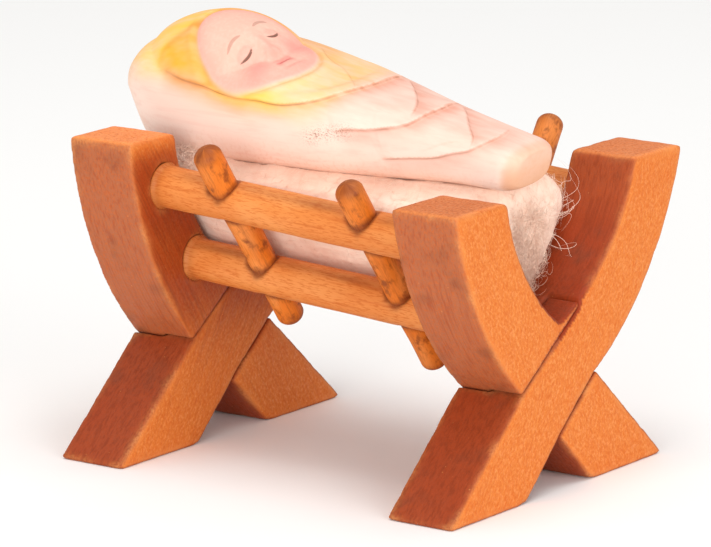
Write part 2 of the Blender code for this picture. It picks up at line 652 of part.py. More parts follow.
def stand_on_origin(root, parts):
    """Move the parent so that the middle of the model's box at its underside is the origin."""
    bpy.context.view_layer.update()
    graph = bpy.context.evaluated_depsgraph_get()
    corners = []
    for piece in parts.objects:
        if piece.type != "MESH":
            continue
        evaluated = piece.evaluated_get(graph)
        mesh = evaluated.to_mesh()
        points = np.empty(len(mesh.vertices) * 3, np.float32)
        mesh.vertices.foreach_get("co", points)
        matrix = np.array(evaluated.matrix_world)
        points = points.reshape(-1, 3) @ matrix[:3, :3].T + matrix[:3, 3]
        corners += [points.min(axis=0), points.max(axis=0)]
        evaluated.to_mesh_clear()
    low, high = np.min(corners, axis=0), np.max(corners, axis=0)
    root.location = (-(low[0] + high[0]) / 2, -(low[1] + high[1]) / 2, -low[2])
    bpy.context.view_layer.update()


def main():
    for old in list(bpy.data.objects):
        bpy.data.objects.remove(old)
    parts, cutters = collection("swaddled_baby_in_manger"), collection("cutters")
    root = bpy.data.objects.new("manger_origin", None)
    parts.objects.link(root)
    board_wood = material("board_wood", ORANGE_STAIN, 0.6)
    rail_wood = material("rail_wood", RAIL_STAIN, 0.55)
    peg_wood = material("peg_wood", PEG_STAIN, 0.55)
    for end_name in ("head", "foot"):
        make_trestle(end_name, parts, cutters, root, board_wood)
    make_rails(parts, cutters, root, rail_wood)
    make_pegs(parts, root, peg_wood)
    make_wool(parts, cutters, root, material("raw_wool", WOOL_CREAM, 0.95))
    make_figure(parts, root, material("painted_wood", PAINTED_WHITE, 0.7))
    stand_on_origin(root, parts)


main()
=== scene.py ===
"""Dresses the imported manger: worn orange boards, grained rails and pegs, raw wool and the painted figure.

Lengths are in metres. +X runs from the head end to the foot end, -Y is the left side and +Z is up.
"""

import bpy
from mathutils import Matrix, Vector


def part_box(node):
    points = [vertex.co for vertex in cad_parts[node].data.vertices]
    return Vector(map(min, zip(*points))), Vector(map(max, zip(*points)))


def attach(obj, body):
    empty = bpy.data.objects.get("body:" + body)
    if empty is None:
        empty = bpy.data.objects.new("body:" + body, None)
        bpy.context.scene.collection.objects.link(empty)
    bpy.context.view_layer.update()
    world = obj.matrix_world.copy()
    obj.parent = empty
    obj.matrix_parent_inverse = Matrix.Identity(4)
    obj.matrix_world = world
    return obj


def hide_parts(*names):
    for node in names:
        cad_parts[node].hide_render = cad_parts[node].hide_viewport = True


bl_info = {
    "name": "Swaddled baby in a manger",
    "version": (1, 0, 0),
    "blender": (4, 5, 0),
    "location": "View3D > Sidebar > Manger",
    "description": "Builds the painted figure, its wool and its wooden manger around the packed solids",
    "category": "Object",
}

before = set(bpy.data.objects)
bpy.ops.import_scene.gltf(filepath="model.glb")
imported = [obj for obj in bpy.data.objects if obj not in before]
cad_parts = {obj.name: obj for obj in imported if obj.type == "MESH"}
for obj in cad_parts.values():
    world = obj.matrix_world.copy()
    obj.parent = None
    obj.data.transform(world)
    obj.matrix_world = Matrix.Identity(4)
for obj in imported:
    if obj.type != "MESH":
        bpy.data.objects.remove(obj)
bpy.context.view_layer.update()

import itertools
import math

import bmesh
import bpy
import numpy as np
from bpy.props import FloatProperty, FloatVectorProperty, IntProperty, PointerProperty
from mathutils import Euler, Vector
from mathutils.bvhtree import BVHTree

MM = 0.001
BODY = "root"

BOARDS = ("head_trestle_board_a", "head_trestle_board_b", "foot_trestle_board_a", "foot_trestle_board_b")
RAILS = ("left_upper_rail", "left_lower_rail", "right_upper_rail", "right_lower_rail")
PEGS = ("left_peg_1", "left_peg_2", "right_peg_1", "right_peg_2")

# Sizes that the manger's solids have too
MANGER_LENGTH = 91.0 * MM
BOARD_THICKNESS = 14.6 * MM
WAIST_HEIGHT = 20.9 * MM
NOTCH_HEIGHT = 32.4 * MM
RAIL_RADIUS = 4.0 * MM
PEG_RADIUS = 2.75 * MM
PEG_DOME = 2.2 * MM

# Sizes that only the surfaces have
ARM_TIPS = 56.0 * MM          # every arm's tip lies higher than this
ARM_WAY = (0.55, 0.835)       # way of the arms: across and up
EDGE_SWELL = 0.07 * MM        # the boards' skin stands this much proud, which narrows the seams
BOARD_SMOOTHING = 9           # rounds of smoothing after the even skin is made
RAIL_END_ROUND = 0.8 * MM
RAIL_MESH = (240, 64)         # rings along a rail, and points round each
PEG_MESH = (100, 44)

# The wool
WOOL_SMOOTHING = 4
WOOL_SHADE_BELOW = 42.0 * MM  # the tuft is matted lower than this, and painted darker there as shade
FIGURE_LOW_EDGE = 57.0 * MM   # height at which the figure's shade falls on the tuft
HUG_REACH = 1.5 * MM          # wool nearer the figure than this is drawn up to it
HUG_GAP = 0.2 * MM            # but no closer than this
HUG_SOFTNESS = 0.4 * MM
HUG_LIP = 1.0 * MM            # height of the soft lip beside it
LIP_REACH = 3.5 * MM
FIBRE_CLEARANCE = 0.2 * MM    # leaning fibres that come nearer to the wood or the figure are left out
FIBRE_SEED = 7
FIBRE_LEAN = (0.5, 0.5, -0.1)
# For each set: share of the fibres' number, then spans of length, lift and curl in mm, the way it leans,
# its thickness and its steps along a fibre, and how far it takes the deep colour
FIBRE_SETS = {
    "fuzz": (1, (1.5, 5), (0.1, 0.4), (0.1, 0.5), None, 0.8, 10, 0.0),
    "rim": (1 / 3, (1.5, 4), (0.2, 0.6), (0.1, 0.4), None, 0.8, 10, 0.0),
    "tangle": (1 / 4, (2, 6), (0.4, 2.0), (0.3, 1.0), FIBRE_LEAN, 0.8, 12, 0.2),
    "low_tangle": (1 / 8, (3, 7), (0.4, 2.2), (0.4, 1.2), FIBRE_LEAN, 1.0, 14, 0.5),
    "strays": (0.009, (7, 13), (3.0, 8.0), (0.5, 1.2), (1.0, 0.9, 0.2), 1.0, 28, 0.0),
    "head_tuft": (1 / 3, (3, 7), (0.8, 3.0), (0.4, 1.1), (-0.7, -0.4, 0.4), 1.0, 12, 0.0),
}

# The figure, in its own frame: X from the crown to the feet, Z up from the back at the feet
FIGURE_LENGTH = 96.2 * MM
WIDTH_STATIONS = (0.0, 0.30, 0.52, 0.78, 1.0)
HALF_WIDTHS = (15.2 * MM, 15.4 * MM, 13.8 * MM, 9.4 * MM, 7.2 * MM)
HEIGHT_STATIONS = (0.0, 0.10, 0.26, 0.42, 0.63, 0.83, 1.0)
HEIGHTS = (16.5 * MM, 20.2 * MM, 19.9 * MM, 18.3 * MM, 14.6 * MM, 11.0 * MM, 8.2 * MM)
BACK_DEPTH = 4.8 * MM         # how much deeper the back lies at the crown
BACK_DEPTH_END = 0.85         # share of the length at which that has run out
CROWN_TAPER = 22.0 * MM
CROWN_ROUNDING = 8.0 * MM
CROWN_UNDERCUT = 4.5 * MM
FOOT_ROUNDING = 4.0 * MM
FOOT_UNDERCUT = 2.6 * MM
SIDE_POWER = 2 / 2.9
TOP_POWER = 2 / 2.4
BACK_POWER = 2 / 3.4
FIGURE_TURN = (math.radians(7.4), math.radians(0.6), math.radians(-4.7))   # roll, pitch and yaw
FIGURE_OVERHANG = 8.3 * MM
FIGURE_SIDE = 6.1 * MM
FIGURE_ABOVE_RAIL = 7.7 * MM
HEAD_CENTRE = 22.0 * MM
HEAD_SIDE = -1.6 * MM
HEAD_HALF_LENGTH = 15.5 * MM
HEAD_HALF_WIDTH = 13.5 * MM
HEAD_RISE = 5.4 * MM
FACE_CENTRE = 32.6 * MM
FACE_SIDE = -4.6 * MM
FACE_HALF_LENGTH = 12.4 * MM
FACE_HALF_WIDTH = 9.9 * MM
FACE_TURN = math.radians(20)
HOOD_CENTRE = 27.0 * MM
HOOD_HALF_LENGTH = 27.5 * MM
HOOD_HALF_WIDTH = 14.2 * MM
HOOD_POWER = 2.6
HOOD_SINK = 0.5 * MM
NEVER_DRAWN = 5               # a gap in mm at which no stroke is seen

# Carved edges of the swaddling: (mm from the crown, degrees round from the top, + on the left side)
BLANKET_EDGE = ((16, 59), (21.5, 66), (26.7, 67), (31.8, 69), (36.7, 70), (41.3, 68), (45.5, 65), (49.5, 56),
                (52.8, 46), (55.5, 34), (57.4, 19), (58.4, -1), (58.4, -26), (57.8, -40))
HOOD_EDGE = ((38, -28), (43.7, -12), (48.9, -5), (53.7, 9), (57, 22))
CHEST_FLAP = ((57.8, -40), (61.5, -28), (65, -14), (68.3, 3), (70.5, 20), (71.5, 36))
ARM_FOLD = ((57, 80), (60.1, 72), (65, 65), (70.7, 51), (72.6, 39), (73.4, 24), (73.8, 6), (73.5, -34))
KNEE_FLAP = ((72.6, -38), (77.7, -14), (81.9, 14), (85.2, 35), (86, 52))
SHIN_FOLD = ((67, 105), (71.3, 99), (78, 87), (82.2, 71), (86, 56), (88.4, 29), (88.6, 4), (87.4, -20))
# Path of the painted shade in the groove round the face.
OCHRE_SHADE_PATH = ((28, 68), (21.5, 66), (17.3, 61), (14.8, 53), (14.3, 45), (15.8, 38), (17.9, 31), (20, 20),
              (20.5, 4), (20, -20), (21, -40), (25, -55), (30, -62))
FLECK_PATH = ((50.5, 98), (54.6, 85), (61, 72))
YELLOW_EDGE = ((-2, 50), (3.4, 56), (8.8, 62), (13.4, 65), (19.1, 70), (24.3, 77), (29.4, 84), (34.3, 88),
               (38.8, 88), (43.7, 83), (48.3, 75), (52.2, 64), (55.2, 48), (57, 28), (57, 0), (54, -40))

# Face, measured from the middle of its oval: own plain proportions, five eye widths across
EYE_OUT = 3.9 * MM
EYE_HALF = 1.85 * MM
EYE_LINE = 0.4 * MM
BROW_LINE = -2.9 * MM
NOSE_TIP = 3.9 * MM
MOUTH_LINE = 6.7 * MM
MOUTH_HALF = 2.1 * MM
CHIN_LINE = 9.9 * MM
LID_HALF = 1.05 * EYE_HALF
# Soft spots, alike on both sides: height, place and width across, place and width along
FACE_FORMS = {
    "eye hollow": (-0.55 * MM, EYE_OUT, 2.7 * MM, EYE_LINE - 0.2 * MM, 2.1 * MM),
    "brow": (0.30 * MM, EYE_OUT, 3.2 * MM, BROW_LINE, 1.3 * MM),
    "side of the nose": (0.45 * MM, 1.3 * MM, 0.6 * MM, NOSE_TIP + 0.1 * MM, 0.7 * MM),
    "cheek": (0.65 * MM, 5.2 * MM, 2.9 * MM, 5.0 * MM, 3.0 * MM),
    "groove over the lip": (-0.15 * MM, 0.0, 0.45 * MM, (NOSE_TIP + MOUTH_LINE) / 2 + 0.3 * MM, 0.7 * MM),
    "lower lip": (0.42 * MM, 0.0, 1.7 * MM, MOUTH_LINE + 0.75 * MM, 0.65 * MM),
    "hollow under the lip": (-0.28 * MM, 0.0, 2.4 * MM, (MOUTH_LINE + CHIN_LINE) / 2 + 0.3 * MM, 0.7 * MM),
    "chin": (0.55 * MM, 0.0, 2.6 * MM, CHIN_LINE, 1.5 * MM),
}
BLUSHES = {
    "cheek": (0.62, 5.4 * MM, 2.9 * MM, 4.8 * MM, 2.8 * MM),
    "nose": (0.35, 0.0, 1.4 * MM, NOSE_TIP, 1.3 * MM),
    "chin": (0.3, 0.0, 3 * MM, CHIN_LINE, 1.8 * MM),
    "lid": (0.18, EYE_OUT, 2.6 * MM, EYE_LINE, 1.4 * MM),
}

# Camera, fitted to the photograph's frame
PHOTO_WIDTH, PHOTO_HEIGHT = 711, 547
CAMERA_AZIMUTH = math.radians(35.6)
CAMERA_ELEVATION = math.radians(13.09)
CAMERA_DISTANCE = 1.0
CAMERA_TARGET = (4.208 * MM, -3.0 * MM, 28.0 * MM)
CAMERA_LENS = 265.02
CAMERA_SHIFT = (-0.008793, 0.056885)

# Floor and lights
FLOOR_HALF = 4.0
LIGHT_TARGET = (0.0, 0.0, 30 * MM)
# Place and size of each soft round light
LIGHTS = {
    "key": ((1.40, -0.40, 0.42), 1.1),
    "top": ((0.15, -0.1, 1.6), 1.2),
    "fill": ((0.45, -1.4, 0.26), 1.0),
}


def srgb(red, green, blue):
    """Scene colour of three screen values from 0 to 255."""
    values = np.array((red, green, blue)) / 255
    linear = np.where(values <= 0.04045, values / 12.92, ((values + 0.055) / 1.055) ** 2.4)
    return tuple(float(v) for v in linear)


def colour_setting(name, description, *screen):
    return FloatVectorProperty(name=name, description=description, subtype="COLOR", size=3, min=0, max=1,
                               default=srgb(*screen))


def length_setting(name, description, default):
    return FloatProperty(name=name, description=description, default=default, min=0, unit="LENGTH",
                         precision=5)


class WoodSettings(bpy.types.PropertyGroup):
    """Finish of the manger's boards, rails and pegs"""
    board: colour_setting("Sawn stain", "Colour of the boards' sawn faces and tips", 218, 122, 46)
    # The lighter tip colour is a painted highlight on the up-facing tips.
    board_tip_highlight: colour_setting("Tip stain", "Lighter colour of the arms' tips", 252, 152, 84)
    # The sides' duller colour is painted shade: a shaded copy of the sawn stain.
    board_side_shade: colour_setting("Side stain", "Duller colour of the boards' sides", 172, 97, 60)
    board_pore: colour_setting("Pores", "Colour of the pores of the boards", 204, 92, 22)
    # Dark grain on the sides, and the painted shade on the leg sides, in the notch, at the lap's seam and on
    # the inside faces.
    board_grain_and_shade: colour_setting("Deep stain", "Where stain has pooled: legs, notch and inside", 148, 50, 10)
    rail: colour_setting("Rail stain", "Main colour of the rails", 218, 128, 58)
    rail_deep: colour_setting("Rail grain", "Colour of the dark dashes along the rails", 190, 84, 14)
    peg: colour_setting("Peg stain", "Main colour of the pegs", 218, 114, 26)
    peg_deep: colour_setting("Peg tips", "Colour of the pegs' tips and of the glue round them", 112, 44, 12)
    worn: colour_setting("Worn edge", "Colour where handling has rubbed the stain off", 242, 168, 98)
    smudge: colour_setting("Smudge", "Colour of the dark handling marks on the sides", 104, 56, 36)
    voxel: length_setting("Board mesh", "Size of the boards' faces", 0.42 * MM)
    wave: length_setting("Planing", "Height of the slow waves left by hand sanding", 0.07 * MM)
    pore: length_setting("Pores", "Depth of the raised grain on the sawn faces", 0.035 * MM)
    wear: length_setting("Wear", "How far the edges are rubbed down", 0.12 * MM)
    groove: length_setting("Grooves", "Depth of the grain along rails and pegs", 0.05 * MM)


class FigureSettings(bpy.types.PropertyGroup):
    """Carving and paint of the figure"""
    ground: colour_setting("Ground coat", "Matt cream of the swaddling", 251, 224, 208)
    yellow: colour_setting("Yellow wash", "Thin yellow wash of the hood", 252, 198, 44)
    # Painted shade in the groove between the hood and the face.
    ochre: colour_setting("Hood shade", "Deeper wash inside the hood", 226, 138, 52)
    skin: colour_setting("Skin", "Colour of the face", 236, 178, 158)
    blush: colour_setting("Blush", "Rosy tint of cheeks, nose and chin", 230, 132, 122)
    line: colour_setting("Line", "Thin drawn lines along the folds", 150, 96, 70)
    # The fold shade colour is also laid over the top of the figure as painted shade.
    shade: colour_setting("Fold shade", "Pink shade beside the folds", 222, 150, 126)
    lash: colour_setting("Lashes", "Brown of lashes and brows", 104, 62, 44)
    lips: colour_setting("Lips", "Colour of the mouth", 206, 92, 88)
    bare: colour_setting("Foot shade", "Tan shade under the feet", 222, 160, 118)
    step: length_setting("Fold height", "How far a fold's edge stands above what lies beside it", 0.5 * MM)
    fade: length_setting("Fold run-out", "How soon a fold's step runs out again", 9.0 * MM)
    line_half: length_setting("Line width", "Half the width of a drawn line", 0.12 * MM)
    rings: IntProperty(name="Rings", description="Rings of points along the figure", default=400, min=60)
    sides: IntProperty(name="Sides", description="Points round each ring", default=236, min=40)


class WoolSettings(bpy.types.PropertyGroup):
    """The raw wool under the figure"""
    wool: colour_setting("Wool", "Colour of the lit fibres", 255, 230, 211)
    # Also the colour of the painted shade in the tuft's hollows, low down and under the figure's edge.
    wool_deep_and_shade: colour_setting("Wool depth", "Colour between the fibres", 226, 158, 124)
    voxel: length_setting("Wool mesh", "Size of the tuft's faces", 0.45 * MM)
    clump: length_setting("Clumps", "Height of the tuft's clumps", 0.7 * MM)
    fuzz: IntProperty(name="Fibres", description="Number of short loose fibres", default=1800, min=0)
    fibre_radius: length_setting("Fibre radius", "Radius of one fibre", 0.04 * MM)


class StageSettings(bpy.types.PropertyGroup):
    """Floor, lights and camera"""
    floor: colour_setting("Floor", "Colour of the plain floor", 250, 249, 247)
    key: FloatProperty(name="Key light", description="Power of the soft light from the foot end",
                       default=9.0, min=0, unit="POWER")
    top: FloatProperty(name="Top light", description="Power of the soft light from above",
                       default=11.0, min=0, unit="POWER")
    fill: FloatProperty(name="Fill light", description="Power of the soft light from the left",
                        default=12.0, min=0, unit="POWER")
    sky: FloatProperty(name="Surroundings", description="Strength of the even light from all round",
                       default=0.6, min=0)


# Numbers and curves

def hashed(cell, seed):
    """A fixed number from -1 to 1 for each whole lattice point."""
    x, y, z = (cell[..., axis].astype(np.int64) for axis in range(3))
    n = (x * 374761393 + y * 668265263 + z * 1440662683 + seed * 1013904223) & 0xFFFFFFFF
    n = ((n ^ (n >> 13)) * 1274126177) & 0xFFFFFFFF
    n = ((n ^ (n >> 16)) * 2246822519) & 0xFFFFFFFF
    return ((n ^ (n >> 15)) & 0xFFFFFF) / 8388607.5 - 1.0


def noise(points, wave, seed=0):
    """Value noise: fixed lattice numbers one wave apart, blended by a smooth fade along each axis."""
    place = np.asarray(points) / np.asarray(wave)
    base = np.floor(place)
    part = place - base
    fade = part ** 3 * (part * (part * 6 - 15) + 10)
    total = 0
    for corner in itertools.product((0, 1), repeat=3):
        weight = np.prod(np.where(corner, fade, 1 - fade), axis=-1)
        total = total + weight * hashed(base + corner, seed)
    return total


def smooth_curve(x, knots, values):
    """Value at x of the curve through the knots that never overshoots them (monotone cubic pieces)."""
    knots, values = np.asarray(knots, float), np.asarray(values, float)
    step = np.diff(knots)
    slope = np.diff(values) / step
    tangent = np.zeros_like(values)
    same_way = slope[:-1] * slope[1:] > 0
    tangent[1:-1][same_way] = 2 * (slope[:-1] * slope[1:])[same_way] / (slope[:-1] + slope[1:])[same_way]
    tangent[0], tangent[-1] = slope[0], slope[-1]
    i = np.clip(np.searchsorted(knots, x) - 1, 0, len(step) - 1)
    t = np.clip((x - knots[i]) / step[i], 0, 1)
    start = values[i] * (1 + 2 * t) * (1 - t) ** 2 + tangent[i] * step[i] * t * (1 - t) ** 2
    end = values[i + 1] * t ** 2 * (3 - 2 * t) + tangent[i + 1] * step[i] * t ** 2 * (t - 1)
    return start + end


def soft_step(x, width):
    """0 below zero and 1 above it, turning smoothly over the width."""
    return 0.5 + 0.5 * np.tanh(x / width)


def bell(x, width):
    return np.exp(-(x / width) ** 2)


def signed_power(x, power):
    return np.sign(x) * np.abs(x) ** power


def rounding(distance, reach, power):
    """Share of full size at a distance from a rounded end: 0 at the end, 1 past the reach."""
    left = 1 - np.clip(distance / reach, 0, 1)
    return (1 - left ** power) ** (1 / power)


def spread(length, count, crowding, reach):
    """Places from 0 to the length, closer together near both ends."""
    x = np.linspace(0, length, 4001)
    density = 1 + crowding * (np.exp(-x / reach) + np.exp((x - length) / reach))
    total = np.concatenate(((0,), np.cumsum((density[1:] + density[:-1]) / 2)))
    return np.interp(np.linspace(0, total[-1], count), total, x)


def rounded_path(points, steps=10):
    """Smooth path through the points: each coordinate runs on a Catmull-Rom curve."""
    points = np.asarray(points, float)
    ghost = np.concatenate((2 * points[:1] - points[1:2], points, 2 * points[-1:] - points[-2:-1]))
    t = np.linspace(0, 1, steps, endpoint=False)[:, None]
    runs = []
    for a, b, c, d in zip(ghost, ghost[1:], ghost[2:], ghost[3:]):
        runs.append(0.5 * (2 * b + (c - a) * t + (2 * a - 5 * b + 4 * c - d) * t ** 2
                           + (3 * b - a - 3 * c + d) * t ** 3))
    return np.concatenate(runs + [points[-1:]])


def path_distance(places, path):
    """Signed distance from 2D places to a path, + to its left, and how far along it the nearest point is."""
    flat = places.reshape(-1, 2)
    best = np.full(len(flat), np.inf)
    signed, along = np.zeros(len(flat)), np.zeros(len(flat))
    run = 0.0
    for start, end in zip(path, path[1:]):
        way = end - start
        length = max(float(np.hypot(*way)), 1e-9)
        way = way / length
        offset = flat - start
        t = np.clip(offset @ way, 0, length)
        gap = offset - t[:, None] * way
        distance = np.hypot(gap[:, 0], gap[:, 1])
        side = np.sign(way[0] * offset[:, 1] - way[1] * offset[:, 0])
        nearer = distance < best
        best[nearer] = distance[nearer]
        signed[nearer] = (distance * side)[nearer]
        along[nearer] = (run + t)[nearer]
        run += length
    return signed.reshape(places.shape[:-1]), along.reshape(places.shape[:-1]), run


# Meshes and pieces

def mesh_from(name, points, faces):
    """Mesh of points and faces, turned to face outwards by the sign of its volume."""
    points = np.asarray(points).reshape(-1, 3)
    volume = 0.0
    for group in faces:
        for k in range(1, group.shape[1] - 1):
            a, b, c = points[group[:, 0]], points[group[:, k]], points[group[:, k + 1]]
            volume += np.sum(np.cross(a, b) * c)
    if volume < 0:
        faces = [group[:, ::-1] for group in faces]
    mesh = bpy.data.meshes.new(name)
    mesh.from_pydata(points.tolist(), [], [face for group in faces for face in group.tolist()])
    mesh.shade_smooth()
    return mesh


def ring_faces(rings, sides):
    """Quads between neighbouring rings of points."""
    number = np.arange(rings * sides).reshape(rings, sides)
    after = np.roll(number, -1, axis=1)
    return np.stack((number[:-1], number[1:], after[1:], after[:-1]), axis=-1).reshape(-1, 4)


def closed_tube(name, points):
    """Mesh through rings of points, closed by a fan to the middle of its first and last ring."""
    rings, sides = points.shape[:2]
    poles = np.stack((points[0].mean(axis=0), points[-1].mean(axis=0)))
    everything = np.concatenate((points.reshape(-1, 3), poles))
    number = np.arange(sides)
    after = np.roll(number, -1)
    last = (rings - 1) * sides
    top = np.stack((np.full(sides, rings * sides), number, after), axis=-1)
    bottom = np.stack((np.full(sides, rings * sides + 1), last + after, last + number), axis=-1)
    return mesh_from(name, everything, [ring_faces(rings, sides), np.concatenate((top, bottom))])


def vertex_array(data, field, width):
    values = np.empty(len(data) * width, np.float32)
    data.foreach_get(field, values)
    return values.reshape(-1, width).astype(float)


def points_and_normals(mesh):
    return vertex_array(mesh.vertices, "co", 3), vertex_array(mesh.vertex_normals, "vector", 3)


def move_points(mesh, points):
    mesh.vertices.foreach_set("co", np.asarray(points, np.float32).ravel())
    mesh.update()


def keep(mesh, name, values):
    """Keep a number or a place for every point of the mesh under a name that materials read."""
    values = np.asarray(values, np.float32)
    kind, field = ("FLOAT", "value") if values.ndim == 1 else ("FLOAT_VECTOR", "vector")
    mesh.attributes.new(name, kind, "POINT").data.foreach_set(field, values.ravel())


def add_object(name, mesh):
    piece = bpy.data.objects.new(name, mesh)
    bpy.context.scene.collection.objects.link(piece)
    return piece


def finish_piece(piece, finish, slot, *nodes):
    """Give the piece its finish, put it on the body and let it stand for its CAD nodes."""
    piece.data.materials.clear()
    piece.data.materials.append(finish)
    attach(piece, BODY)
    if nodes:
        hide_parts(*nodes)


def node_points(name):
    """Separate corner points of a CAD node."""
    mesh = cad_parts[name].data
    return np.unique(np.round(vertex_array(mesh.vertices, "co", 3), 6), axis=0)


def rod_ends(name):
    """Two ends of the axis of a rod-shaped CAD node, the end with the lower X or Z first.

    The axis joins the middles of the points near each end, and its ends are the node's own reach.
    """
    points = node_points(name)
    middle = points.mean(axis=0)
    axis = np.linalg.svd(points - middle)[2][0]
    along = (points - middle) @ axis
    near_end = 0.7 * MM
    low = points[along < along.min() + near_end].mean(axis=0)
    high = points[along > along.max() - near_end].mean(axis=0)
    axis = (high - low) / np.linalg.norm(high - low)
    if abs(axis[0]) > 0.7 and axis[0] < 0 or abs(axis[0]) <= 0.7 and axis[2] < 0:
        axis = -axis
    along = (points - low) @ axis
    return low + axis * along.min(), low + axis * along.max()


def manger_middle():
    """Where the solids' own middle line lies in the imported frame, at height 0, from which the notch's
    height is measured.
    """
    rails = [np.mean(rod_ends(name), axis=0) for name in RAILS]
    left_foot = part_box("head_trestle_board_a")[0][1]
    right_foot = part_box("head_trestle_board_b")[1][1]
    return np.array((np.mean([rail[0] for rail in rails]), (left_foot + right_foot) / 2, 0.0))


def remeshed(name, node, voxel, smoothing):
    """Object with an even skin of small faces over a merged copy of a CAD node."""
    work = bmesh.new()
    work.from_mesh(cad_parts[node].data)
    bmesh.ops.remove_doubles(work, verts=work.verts, dist=0.001 * MM)
    mesh = bpy.data.meshes.new(name)
    work.to_mesh(mesh)
    work.free()
    piece = add_object(name, mesh)
    skin = piece.modifiers.new("even skin", "REMESH")
    skin.mode = "VOXEL"
    skin.voxel_size = voxel
    soften = piece.modifiers.new("soften", "SMOOTH")
    soften.factor = 0.5
    soften.iterations = smoothing
    bpy.context.view_layer.update()
    graph = bpy.context.evaluated_depsgraph_get()
    fine = bpy.data.meshes.new_from_object(piece.evaluated_get(graph))
    piece.modifiers.clear()
    piece.data = fine
    fine.name = name
    fine.shade_smooth()
    return piece


def neighbour_mean(mesh, values, rounds=1):
    """Values averaged over each point's neighbours, a number of times."""
    edges = np.empty(len(mesh.edges) * 2, np.int32)
    mesh.edges.foreach_get("vertices", edges)
    a, b = edges.reshape(-1, 2).T
    both, other = np.concatenate((a, b)), np.concatenate((b, a))
    count = np.maximum(np.bincount(both, minlength=len(values)), 1)
    for _ in range(rounds):
        columns = values.reshape(len(count), -1).T
        summed = [np.bincount(both, weights=column[other], minlength=len(count)) for column in columns]
        values = (np.stack(summed, axis=-1) / count[:, None]).reshape(values.shape)
    return values


# Shader recipes

class Socket:
    """One socket of a material; arithmetic on it adds Math nodes."""

    def __init__(self, recipe, socket):
        self.recipe = recipe
        self.socket = socket

    def maths(self, operation, *others):
        inputs = dict(enumerate((self,) + others))
        return self.recipe.node("ShaderNodeMath", {"operation": operation}, inputs)

    def __add__(self, other):
        return self.maths("ADD", other)

    def __radd__(self, other):
        return self.maths("ADD", other)

    def __sub__(self, other):
        return self.maths("SUBTRACT", other)

    def __rsub__(self, other):
        return (self * -1.0) + other

    def __mul__(self, other):
        return self.maths("MULTIPLY", other)

    def __rmul__(self, other):
        return self.maths("MULTIPLY", other)


class Recipe:
    """A material in the making."""

    def __init__(self, name, roughness, colour, shine=0.5):
        self.material = bpy.data.materials.new(name)
        self.material.use_nodes = True
        self.material.diffuse_color = (*colour, 1)
        self.tree = self.material.node_tree
        self.shader = self.tree.nodes["Principled BSDF"]
        self.shader.inputs["Roughness"].default_value = roughness
        self.shader.inputs["Metallic"].default_value = 0
        self.shader.inputs["Specular IOR Level"].default_value = shine
        self.object_place = self.node("ShaderNodeTexCoord", output="Object")
        self.colour = colour

    def put(self, socket, value):
        if isinstance(value, Socket):
            self.tree.links.new(value.socket, socket)
        elif socket.type == "RGBA":
            socket.default_value = (*value[:3], 1)
        else:
            socket.default_value = value

    def node(self, kind, settings=None, inputs=None, output=0):
        """Add a node: its settings first, then its inputs; gives one output."""
        made = self.tree.nodes.new(kind)
        for key, value in (settings or {}).items():
            setattr(made, key, value)
        for key, value in (inputs or {}).items():
            self.put(made.inputs[key], value)
        return Socket(self, made.outputs[output])

    def attribute(self, name, output="Fac"):
        return self.node("ShaderNodeAttribute", {"attribute_name": name}, output=output)

    def noise(self, place, scale, detail=2.0, roughness=0.5, stretch=(1, 1, 1)):
        """Noise from 0 to 1 over a place: waves a metre, and how much of them runs along each axis."""
        turned = self.node("ShaderNodeMapping", {"vector_type": "POINT"},
                           {"Vector": place, "Scale": stretch}, output="Vector")
        return self.node("ShaderNodeTexNoise", {"noise_dimensions": "3D"},
                         {"Vector": turned, "Scale": scale, "Detail": detail, "Roughness": roughness})

    def fade(self, value, low, high, to_low=0.0, to_high=1.0):
        """The value's way from low to high as a smooth step."""
        return self.node("ShaderNodeMapRange", {"interpolation_type": "SMOOTHSTEP"},
                         {"Value": value, "From Min": low, "From Max": high, "To Min": to_low,
                          "To Max": to_high})

    def mix(self, share, first, second):
        return self.node("ShaderNodeMix", {"data_type": "RGBA", "clamp_factor": True},
                         {0: share, 6: first, 7: second}, output=2)

    def coat(self, share, colour):
        """Lay a colour over the coats so far, as thickly as the share says."""
        self.colour = self.mix(share, self.colour, colour)

    def bump(self, height, distance, strength):
        inputs = {"Height": height, "Distance": distance, "Strength": strength}
        return self.node("ShaderNodeBump", inputs=inputs)

    def done(self, roughness=None, normal=None):
        self.put(self.shader.inputs["Base Color"], self.colour)
        if roughness:
            self.put(self.shader.inputs["Roughness"], roughness)
        if normal:
            self.put(self.shader.inputs["Normal"], normal)
        return self.material


